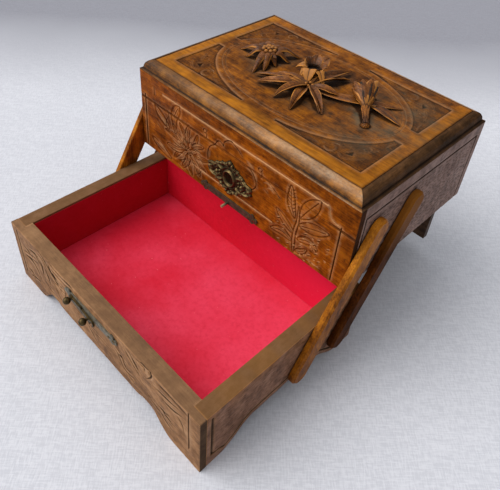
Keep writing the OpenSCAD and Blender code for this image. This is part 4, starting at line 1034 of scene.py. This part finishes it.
def blade(rng, length, width, heights, thick=1.3, crown=0.0, fold=0.0, droop=0.4, bend=0.0, peak=0.42,
          start=2.0, point=0.9, foot=0.34, vein=0.45):
    """A leaf along +X. heights are those of its middle line from foot to tip. crown rounds its halves, fold
    lifts its edges into a gutter. Returns points, faces, dirt, with painted shade on the underside, and wear."""
    stations, top_n, under_n = 36, 17, 7
    s = np.linspace(0, 1, stations)
    mid = smooth_line(np.stack([np.linspace(0, 1, len(heights)), heights], -1), 10)
    half = width / 2 * (foot * (1 - s) ** 2
                        + 0.94 * np.sin(np.pi * np.clip(at_peak(s, peak), 0, 0.985)) ** point) + 0.12
    half = half * (1 + 0.06 * np.interp(s, np.linspace(0, 1, 9), rng.standard_normal(9)))
    across = np.concatenate([np.linspace(-1, 1, top_n), np.linspace(1, -1, under_n + 2)[1:-1]])
    upper, side = np.arange(len(across)) < top_n, np.abs(across)
    rise, half, s = (values[:, None] for values in (np.interp(s, mid[:, 0], mid[:, 1]), half, s))
    full, gutter = np.minimum(1.0, half / (0.3 * width)), bell(side / 0.12)
    top = full * (crown * (1 - np.abs(2 * side - 1) ** 2.2) + fold * side - droop * side ** 2
                  - vein * gutter - 0.5 * unit(side - 0.86) / 0.14)
    under = full * ((fold - 0.5) * side - droop * side ** 2) \
        - thick * (1 - 0.45 * s) * full * np.sqrt(unit(1 - side ** 2)) - 0.12
    points = np.stack([start + length * s + 0 * across, across * half + bend * s ** 2,
                       rise + np.where(upper, top, under)], -1).reshape(-1, 3)
    # Dirt in the vein and at the foot; the underside is darkened as painted shade
    hollow = np.where(upper, 1.5 * vein * gutter + 0.6 * unit(1 - s / 0.3), 0.95)
    glint = 0.6 + 0.4 * np.sin(9 * s + length)
    proud = np.where(upper, glint * unit((side - 0.8) / 0.12), 0.2 * (side > 0.9))
    return points, hoops(stations, len(across)), unit(hollow).ravel(), unit(proud).ravel()


def bulb(radii, heights, n, ribs=0, rib_depth=0.0, hollow=None):
    """A turned form up +Z, closed at both ends, with shallow ribs if wanted."""
    a = np.linspace(0, 2 * np.pi, n, endpoint=False)
    wave = 0.5 + 0.5 * np.cos(ribs * a) if ribs else 0 * a
    r, h = np.array(radii)[:, None] * (1 - rib_depth * wave), np.array(heights)[:, None]
    points = np.stack([r * np.cos(a), r * np.sin(a), h + 0 * a], -1).reshape(-1, 3)
    dirt = 0.8 * wave + np.array(hollow or [0] * len(radii))[:, None]
    return points, hoops(len(radii), n), unit(dirt).ravel(), np.zeros(r.size)


def bead(x, y, z, r):
    """A round seed with a small flat top. It is darker towards its bottom, dirt and painted shade, and paler
    on top, wear and painted highlight.
    """
    a = np.radians(np.linspace(-80, 86, 8))
    points, faces, _, _ = bulb(r * np.cos(a), r * np.sin(a), 14)
    up = points[:, 2] / r
    return points + (x, y, z), faces, np.clip(0.8 - (up + 0.2), 0, 0.9), unit(up - 0.4)


def boss(r, h, dirt=0.7):
    # Dark all over: painted shade in the gaps between the leaves above it
    a = np.radians(np.linspace(0, 90, 8))[1:-1]
    radii = [r * 1.12, r, *(r * np.cos(a) ** 0.6), 0.4]
    return bulb(radii, [0.0, 0.3, *(0.3 + (h - 0.3) * np.sin(a)), h], 30, hollow=[dirt] * len(radii))


def lying_down(form):
    """Turns a form from +Z to +X."""
    return form[0][:, [2, 1, 0]] * (1, 1, -1), *form[1:]


def painted_highlight_on(form, amount):
    """Pales a leaf wherever it isn't dirty: a painted highlight on the faces turned to the light, laid in as
    wear.
    """
    return *form[:3], np.maximum(form[3], amount * (form[2] < 0.5))


class Sprig:
    """Part of the spray, put together round a point of the panel."""

    def __init__(self, x, y, seed):
        self.at = np.array([x, PANEL_MID + y, TOP_Z - 0.45])
        self.shape, self.rng = Shape(), np.random.default_rng(seed)

    def join(self, form, angle=0.0, tip=0.0, twist=0.0, move=(0, 0, 0)):
        points, faces, dirt, worn = form
        points = spin(spin(spin(points, twist, 1, 2), tip, 0, 2), angle, 0, 1) + move
        self.shape.join(points + self.at, faces, dirt, worn)

    def beads(self, count, start, out, z, r, lift=0.0):
        """A ring of seeds, every other one lifted."""
        for k in range(count):
            self.join(bead(*around(0, 0, out, math.radians(360 / count * k + start)), z + lift * (k % 2), r))

    def make(self, name):
        return self.shape.make(f"{name}_carving", CARVED, "lid", [f"carved_{name}"], "carved_wood", 50)


def edelweiss():
    """Claw-like petals that curl down to the panel, and a heart of seeds."""
    made = Sprig(-42.8, 3.9, 11)
    made.join(boss(5.6, 5.6, 1.0))
    claws = ((188, 24.5, 4.2), (226, 17, 4.2), (284, 25, 4.8), (262, 13, 3.4), (308, 19, 4.6), (335, 12, 3.8),
             (22, 15.5, 4.4), (58, 24, 4.6), (92, 18, 4.4), (118, 20, 4.4), (141, 21.5, 4.4), (163, 20, 4.4))
    for k, (angle, length, width) in enumerate(claws):
        lift = (4.8, 5.6, 5.2)[k % 3]
        made.join(blade(made.rng, length - 2, width, [lift, lift + 3.0, lift + 2.8, 4.6, 0.6], 2.2, droop=1.3,
                        bend=(2.0, -1.8, 1.0)[k % 3], point=0.7, foot=0.6, vein=0.12), angle)
    for k in range(9):
        made.join(blade(made.rng, 8.8 - 1.2 * (k % 2), 3.0, [6.6, 7.8, 7.4, 5.4 + 0.5 * (k % 3)], 1.4,
                        droop=0.8, peak=0.55, vein=0.2), 22 + 40 * k)
    made.join(boss(4.6, 7.8, 0.9))
    made.beads(8, 9, 4.3, 7.7, 1.8, 0.3)
    made.beads(4, 30, 1.8, 8.9, 1.7)
    return made.make("edelweiss")


def rosette():
    """Long narrow leaves, folded along the middle, that lie out over the panel."""
    made = Sprig(4.5, -6.1, 12)
    made.join(boss(6.0, 3.6))
    leaves = ((201, 38.5, 6.8, 2.4), (217.5, 35.5, 6.6, 2.0), (252.5, 27.5, 6.8, 1.6), (288.5, 30, 7.0, 1.4),
              (322, 28.5, 5.4, 1.2), (329, 31, 5.6, 1.5), (20, 23, 5.0, 2.2), (70.5, 33, 6.4, 2.2),
              (81, 41, 7.0, 2.6), (186, 27, 6.2, 3.2), (104, 24, 6.0, 3.0))
    for k, (angle, length, width, tip) in enumerate(leaves):
        base = 3.0 + 0.5 * (k % 3)
        line = [base, base + 1.8, base + 1.8, base + 0.2, tip - 0.4]
        made.join(blade(made.rng, length - 2, width, line, 1.5, 0.0, 2.0, 0.1, (1.2, -1.0, 0.4, -0.5)[k % 4],
                        0.5, point=0.85, foot=0.5), angle, twist=(9, -8, 5)[k % 3])
    made.beads(4, 20, 2.4, 4.4, 1.3)
    return made.make("rosette")


def gentian():
    """An open bell with broad lobes: those in front turn down, those behind stand up."""
    made = Sprig(-1.5, 5.5, 13)
    radii = [4.6, 4.9, 5.3, 5.8, 6.4, 7.0, 7.5, 7.1, 5.9, 4.4, 0.4]
    rise = [-0.6, 1.4, 3.2, 5.2, 7.2, 8.8, 9.8, 10.0, 7.4, 4.6, 3.8]
    azimuth, steep, mouth = 138.0, 74.0, (-2.0, 1.8, 9.2)
    # The bell's foot and its inside are darkened: painted shade
    made.join(lying_down(bulb(radii, rise, 40, 5, 0.12, [0.7, 0.6, 0.4, 0.2, 0, 0, 0, 0.7, 1.0, 1.0, 1.0])),
              azimuth, steep)
    lobes = ((286, 12.5, 7.4, [0.6, 1.8, -1.4, -6.2]), (250, 10.5, 6.0, [0.4, 1.0, -1.4, -4.6]),
             (206, 13.0, 7.4, [0.2, 1.0, 0.0, -2.6]), (158, 9.5, 7.4, [0.2, 2.0, 3.4, 3.8]),
             (116, 11.5, 8.0, [0.2, 2.2, 3.8, 4.4]), (80, 13.0, 8.2, [0.2, 2.2, 3.8, 4.2]),
             (34, 9.5, 7.2, [0.2, 2.0, 2.8, 2.4]), (340, 15.5, 5.0, [0.4, 1.0, -1.8, -5.6]))
    for k, (angle, length, width, line) in enumerate(lobes):
        lobe = blade(made.rng, length - 4.4, width, line, 1.5, 0.0, 0.7, 0.2, start=4.4, foot=0.9, point=0.7,
                     vein=0.35)
        made.join(painted_highlight_on(lobe, 0.55 * (angle > 200)), angle, twist=(10, -6, 8)[k % 3], move=mouth)
    return made.make("gentian")


def bud():
    """A half-open bud lying on its knobbed stalk, its petals spread towards the back."""
    made = Sprig(55.9, -10.9, 14)
    azimuth, steep, wide = 129.0, 11.0, 1.42

    def lay(form, start=0.0, roll_by=0.0):
        points = spin(form[0] + (start, 0, 0), roll_by, 1, 2) * (1, wide, 1)
        made.join((points, *form[1:]), azimuth, steep, move=(0, 0, 2.6))

    made.join(boss(2.5, 2.2, 0.4))
    for k in range(6):
        made.join(blade(made.rng, 2.6, 2.2, [2.6, 3.0, 1.8, 1.0], 1.2, 0.3, start=0.4),
                  azimuth + 180 + 34 * (k - 2.5))
    neck = [1.7, 1.4, 1.2, 1.25, 1.4, 1.7, 2.0, 1.9, 2.9, 4.2, 5.4, 6.2, 6.4, 5.0, 0.5]
    up = [-1.0, 0.6, 2.6, 5.4, 8.6, 11.6, 14.0, 15.4, 18.6, 22.6, 27.0, 30.6, 32.0, 31.2, 25.0]
    # The head under the petals is darkened: painted shade
    lay(lying_down(bulb(neck, up, 48, 8, 0.2, [0.4, 0.2, 0.1, 0.1, 0.1, 0, 0] + [0.9] * 6 + [1.0] * 2)))
    for k in range(6):
        lay(blade(made.rng, 11.0, 1.3, [1.2, 1.2, 1.5, 1.9], 0.8, 0.3, 0.0, 0.2, peak=0.5, start=0, vein=0.1),
            3.4, 60 * k + 10)
    petals = ((66, 23.0, 6.4), (22, 20.5, 4.6), (-18, 19.0, 4.4), (-56, 18.5, 5.0), (-98, 17.0, 5.4),
              (108, 20.0, 5.8), (150, 17, 5.8), (-140, 17, 5.8))
    for k, (turned, length, width) in enumerate(petals):
        petal = blade(made.rng, length, width, [1.7, 3.6, 5.6, 6.6 + 0.4 * (k % 2)], droop=1.0, peak=0.72,
                      start=0, point=0.6, foot=0.5, vein=0.1)
        lay(painted_highlight_on(petal, 0.6 * (turned > 40)), 15.0, turned)
    return made.make("bud")


def sprig():
    """Two leaves under the bud: a long thin one that runs out from the rosette, and a broad one."""
    made = Sprig(46.3, 9.3, 15)
    made.join(boss(2.6, 2.0, 0.9))
    made.join(blade(made.rng, 25.5, 6.8, [1.8, 3.6, 3.6, 2.4, 1.2], 1.5, 0.0, 0.7, 0.1, peak=0.45, start=-1.0,
                    foot=0.5, vein=0.3), -8)
    made.join(blade(made.rng, 58, 8.6, [2.6, 2.6, 3.0, 2.6, 1.2], 1.5, 0.0, 0.8, 0.1, 16.0, 0.5, 4.0,
                    foot=0.3, vein=0.3), 13, move=(-41.8, -15.4, 0))
    return made.make("sprig")


# ---------------------------------------------------------------- lining
def sheet_grid(size_u, size_v, place, name, node, body, seed):
    """A thin sheet of cloth on card. place turns (u, v, out) into the maker's frame."""
    nu, nv = (max(4, round(size / 2.5)) + 1 for size in (size_u, size_v))
    u, v = np.meshgrid(np.linspace(0, size_u, nu), np.linspace(0, size_v, nv), indexing="ij")
    rim = unit(np.minimum(np.minimum(u, size_u - u), np.minimum(v, size_v - v)) / 6.0)
    out = 0.55 + 0.25 * (lattice(u, v, 17.0, seed) - 0.35) * rim + 0.06 * (lattice(u, v, 5.0, seed + 1) - 0.5)
    points = [place(u.ravel(), v.ravel(), height.ravel()) for height in (out, 0 * out + 0.06)]
    index, _ = boundary(nu, nv)
    after, skin = np.roll(index, -1), quads(nu, nv)
    faces = np.concatenate([skin, skin[:, ::-1] + u.size,
                            np.stack([index, after, after + u.size, index + u.size], -1)])
    # Painted light: the back wall's cloth paler towards its right. Painted shade: the left wall's cloth darker
    painted_light = 0.8 * unit(u.ravel() / size_u * 1.7 - 0.7) * name.endswith("back_cloth")
    shade = np.full(2 * u.size, 0.4 * name.endswith("left_cloth"))
    made = piece(name, np.concatenate(points), faces, RED if "floor" in name else RED_WALL_SHADED, body, [node],
                 "red_lining", 60, worn=np.tile(painted_light, 2), cavity=shade)


def lining_set(prefix, body, label, seed):
    """Floor sheet and four wall sheets, each in the place of its CAD sheet."""
    for k, side in enumerate(("floor", "front", "back", "left", "right")):
        node = f"{prefix}_lining_{side}"
        (x0, x1), (y0, y1), (z0, z1) = (span(node, axis) for axis in (0, 1, 2))
        size_u, size_v, place = {
            "floor": (x1 - x0, y1 - y0, lambda u, v, o: np.stack([x0 + u, y0 + v, z0 + o], -1)),
            "front": (x1 - x0, z1 - z0, lambda u, v, o: np.stack([x0 + u, y0 + o, z0 + v], -1)),
            "back": (x1 - x0, z1 - z0, lambda u, v, o: np.stack([x0 + u, y1 - o, z0 + v], -1)),
            "left": (y1 - y0, z1 - z0, lambda u, v, o: np.stack([x0 + o, y0 + u, z0 + v], -1)),
            "right": (y1 - y0, z1 - z0, lambda u, v, o: np.stack([x1 - o, y0 + u, z0 + v], -1)),
        }[side]
        sheet_grid(size_u, size_v, place, f"{label}_{side}_cloth", node, body, seed + k)


def linings():
    lining_set("tray", "tray", "tray", 200)
    lining_set("box", "upper_box", "upper", 220)
    (x0, x1), (y0, y1), (_, z1) = (span("lid_lining", axis) for axis in (0, 1, 2))
    sheet_grid(x1 - x0, y1 - y0, lambda u, v, o: np.stack([x0 + u, y0 + v, z1 - o], -1), "lid_floor_cloth",
               "lid_lining", "lid", 240)


# ---------------------------------------------------------------- CAD nodes that stay
def dress(nodes, material, bevel=0.0):
    for name in nodes.split():
        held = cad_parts[name]
        held.data.materials.clear()
        held.data.materials.append(material)
        if bevel:
            soft = held.modifiers.new("edges", "BEVEL")
            soft.width, soft.segments, soft.limit_method = bevel, 2, "ANGLE"
            soft.angle_limit, soft.harden_normals = math.radians(40), True


def carried_over():
    dress("link_front_left link_front_right", LINK, WOOD_EDGE)
    dress("link_rear_left link_rear_right", LINK_REAR_SHADED, WOOD_EDGE)
    dress("tray_back", TRAY, WOOD_EDGE)
    dress("box_long_feet box_back lid_back", BACK_SHADED, WOOD_EDGE)
    dress("tray_bottom box_bottom", BACK_SHADED)
    dress("tray_catch_plate", BRASS_DARK, BRASS_EDGE)
    dress("box_catch_plate", BRASS_BROWN, BRASS_EDGE)
    dress("lower_pivot_pins upper_pivot_pins lock_case lock_bolt lid_strike", BRASS_DARK)
    dress("catch_post catch_hook hinge_leaves_lower hinge_leaves_upper hinge_pins", BRASS)


# ---------------------------------------------------------------- brass made here
def plate_outline(angle):
    """Radius of the plate's edge: a lozenge with scrolled tips and a crest at the top and at the bottom."""
    marks = (0, 6, 11, 17, 22, 30, 37, 45, 54, 63, 72, 81, 90)
    reach = (20.6, 21.8, 20.4, 16.6, 15.4, 15.2, 13.4, 12.8, 13.2, 12.0, 12.4, 13.8, 15.0)
    return np.interp(np.degrees(np.arcsin(np.abs(np.sin(angle)))), marks, reach) + 0.25 * np.sin(angle * 44)


def plate_height(u, v):
    """Relief of the plate over its ground and the dirt in it: ring, scrolls, shells, beads. The keyhole gets
    full dirt, as painted shade in the hole.
    """
    away, x, z = np.hypot(u / 4.5, v / 5.2), np.abs(u), np.abs(v)
    proud = 1.6 * bell((away - 1.12) / 0.15) + 0.5 * bell((away - 1.6) / 0.12)
    sheet = 0.35 + 0.25 * np.cos(np.arctan2(v, u) * 22) * unit((away - 1.3) / 0.8)
    for line, width, rise in (("7.6 4.4, 11 5.6, 15.4 4.6, 19.2 3.4, 20.6 1.4, 18.8 0.4, 17.2 1.8", 1.1, 1.4),
                              ("2.2 9.6, 5.4 9.8, 8.4 8.2, 11 6.8, 11.6 3.6, 13.6 1.6", 0.9, 1.0)):
        far, _ = along(x, z, smooth_line(line))
        proud = np.maximum(proud, rise * bell(far / width))
    beads = ((0, 12.8, 1.5), (2.6, 11.6, 1.1), (5.4, 10.6, 0.9), (8.2, 9.4, 0.9), (12.6, 6.6, 1.0),
             (9.4, 1.4, 1.0), (12.0, 0.0, 1.2), (15.0, 3.0, 0.8), (20.2, 2.6, 1.1))
    for bx, bz, size in beads:
        proud = np.maximum(proud, 1.5 * unit(1 - (np.hypot(x - bx, z - bz) / size) ** 2) ** 0.5)
    pit = (np.hypot(u, v - 1.4) < 1.5) | ((x < 0.8) & (v < 1.4) & (v > -3.8))
    height = np.maximum(sheet + proud * (1 - unit((1 - away) / 0.12)), 0.15)
    return np.where(pit, 0.12, height), unit(1 - (height - 0.2) / 1.1 + pit)


def lock_plate():
    """Cast plate round the keyhole, built in rings from its middle to its edge."""
    turns, rings = 256, 44
    angle = np.linspace(0, 2 * np.pi, turns, endpoint=False)
    edge = plate_outline(angle)
    share = np.linspace(0, 1, rings + 1)[1:] ** 0.85
    rim = edge * np.array([np.cos(angle), np.sin(angle)])
    u, v = (np.concatenate([[0.0], (share[:, None] * way).ravel()]) for way in rim)
    height, hollow = plate_height(u, v)
    height = 0.2 + height * np.concatenate([[1.0], np.repeat(np.clip((1 - share) / 0.05, 0.35, 1), turns)])
    u, v, out = (np.concatenate(pair) for pair in ((u, rim[0]), (v, rim[1]), (height, np.zeros(turns))))
    dirt = np.concatenate([0.9 * hollow, np.full(turns, 0.9)])
    worn = np.concatenate([0.7 * unit((height - 1.25) / 0.6), np.zeros(turns)])
    faces = [[0, 1 + k, 1 + (k + 1) % turns] for k in range(turns)]
    tube = hoops(rings + 1, turns)
    faces += [[1 + i for i in face] for face in tube[:-2] + tube[-1:]]
    points = np.stack([FITTING_X + u, BOX_Y - out, KEYHOLE_Z + v], -1)
    piece("escutcheon_plate", points, faces, BRASS, "upper_box", ["escutcheon"], "old_brass", 55, cavity=dirt,
          worn=worn)


def plate_screws(name, body, plate, y, sides):
    """Domed screw heads with a slot, in the trefoils at the ends of a catch plate."""
    made = Shape()
    middle_z = sum(span(plate, 2)) / 2
    angles = np.radians(np.linspace(0, 84, 6))
    for side in sides:
        for reach, r in ((25.4, 1.25), (20.6, 1.0)):
            points, faces, _, _ = bulb([r, *(r * np.cos(angles))], [0.0, *(0.12 + 0.42 * np.sin(angles))], 24)
            slot = bell(points[:, 0] / (0.22 * r)) * (points[:, 2] > 0.15)
            points[:, 2] -= 0.22 * slot
            right, up, out = points.T
            place = np.stack([FITTING_X + side * reach + right, y - out, middle_z + up], -1)
            # Paler on the domes' tops: wear and a painted highlight
            made.join(place, faces, slot, unit(3 * out))
    made.make(name, BRASS, body, smooth=60)


# ---------------------------------------------------------------- stage, lights, camera
def floor():
    """Pale woven cloth, darker far behind the box: painted shade."""
    size = 3.0
    mesh = bpy.data.meshes.new("floor")
    corners = [(x, y, 0) for x, y in ((-size, -size), (size, -size), (size, size), (-size, size))]
    mesh.from_pydata(corners, [], [(0, 1, 2, 3)])
    made = bpy.data.objects.new("floor", mesh)
    bpy.context.scene.collection.objects.link(made)
    material, g = new_material("pale_cloth", Specular_IOR_Level=0.2)
    turned = g.add("Mapping", {"Vector": g.place, "Rotation": (0.0, 0.0, math.radians(-45))})
    away = g.plus(g.along_axis("Y", turned), g.times(g.noise(0.004, 3.0, 7.0), 90.0))
    threads = g.plus(g.noise((1.1, 0.17, 0.5), 1.0, 3.0, place=turned),
                     g.noise((0.17, 1.1, 0.5), 1.0, 5.0, place=turned))
    # Painted shade: darker farther behind the box
    colour = g.mix(g.spread(away, 270.0, 480.0), (0.665, 0.672, 0.720), (0.27, 0.27, 0.305))
    colour = g.mix(g.spread(threads, 0.8, 1.2, 0.0, 0.30), colour, (0.36, 0.37, 0.42))
    g.surface(colour, 0.9, threads, 0.3, 0.0004)
    mesh.materials.append(material)


def lights():
    """A wide soft window at the front left, and the room's even light, stronger from above and its side."""
    sky = bpy.data.worlds.new("soft_sky")
    sky.use_nodes = True
    g = Graph(sky.node_tree)
    toward = g.add("VectorMath", {0: g.add("TexCoord", {}, "Generated"), 1: (-0.50, -0.36, 0.79)}, "Value",
                   operation="DOT_PRODUCT")
    back = sky.node_tree.nodes["Background"]
    g.put(back.inputs["Color"], (0.96, 0.975, 1.0))
    g.put(back.inputs["Strength"], g.spread(toward, -0.5, 1.0, 0.10, 0.98))
    bpy.context.scene.world = sky
    lamp = bpy.data.lights.new("window", "SUN")
    lamp.energy, lamp.angle, lamp.color = 2.1, math.radians(50), (1.0, 0.985, 0.96)
    made = bpy.data.objects.new("window", lamp)
    made.rotation_euler = Vector((-0.44, -0.50, 0.75)).to_track_quat("Z", "Y").to_euler()
    bpy.context.scene.collection.objects.link(made)


def camera():
    lens = bpy.data.cameras.new("camera")
    lens.sensor_width, lens.lens = 36.0, 41.34
    lens.shift_x, lens.shift_y = -0.0145, -0.1257
    made = bpy.data.objects.new("camera", lens)
    made.location = (0.20941, (-96.08 - MID_Y) / 1000, 0.34221)
    made.rotation_euler = [math.radians(a) for a in (49.9366, -4.0092, 44.9897)]
    bpy.context.scene.collection.objects.link(made)
    bpy.context.scene.camera = made


camera()
floor()
lights()
carried_over()
lock_plate()
plate_screws("tray_plate_screws", "tray", "tray_catch_plate", -PLATE_T, (1,))
plate_screws("box_plate_screws", "upper_box", "box_catch_plate", BOX_Y - PLATE_T, (-1, 1))
box_fronts()
upper_sides()
tray_boards()
lid_top(np.concatenate([edelweiss(), rosette(), gentian(), bud(), sprig()]))
mouldings()
linings()
bpy.context.scene.view_settings.view_transform = "Standard"
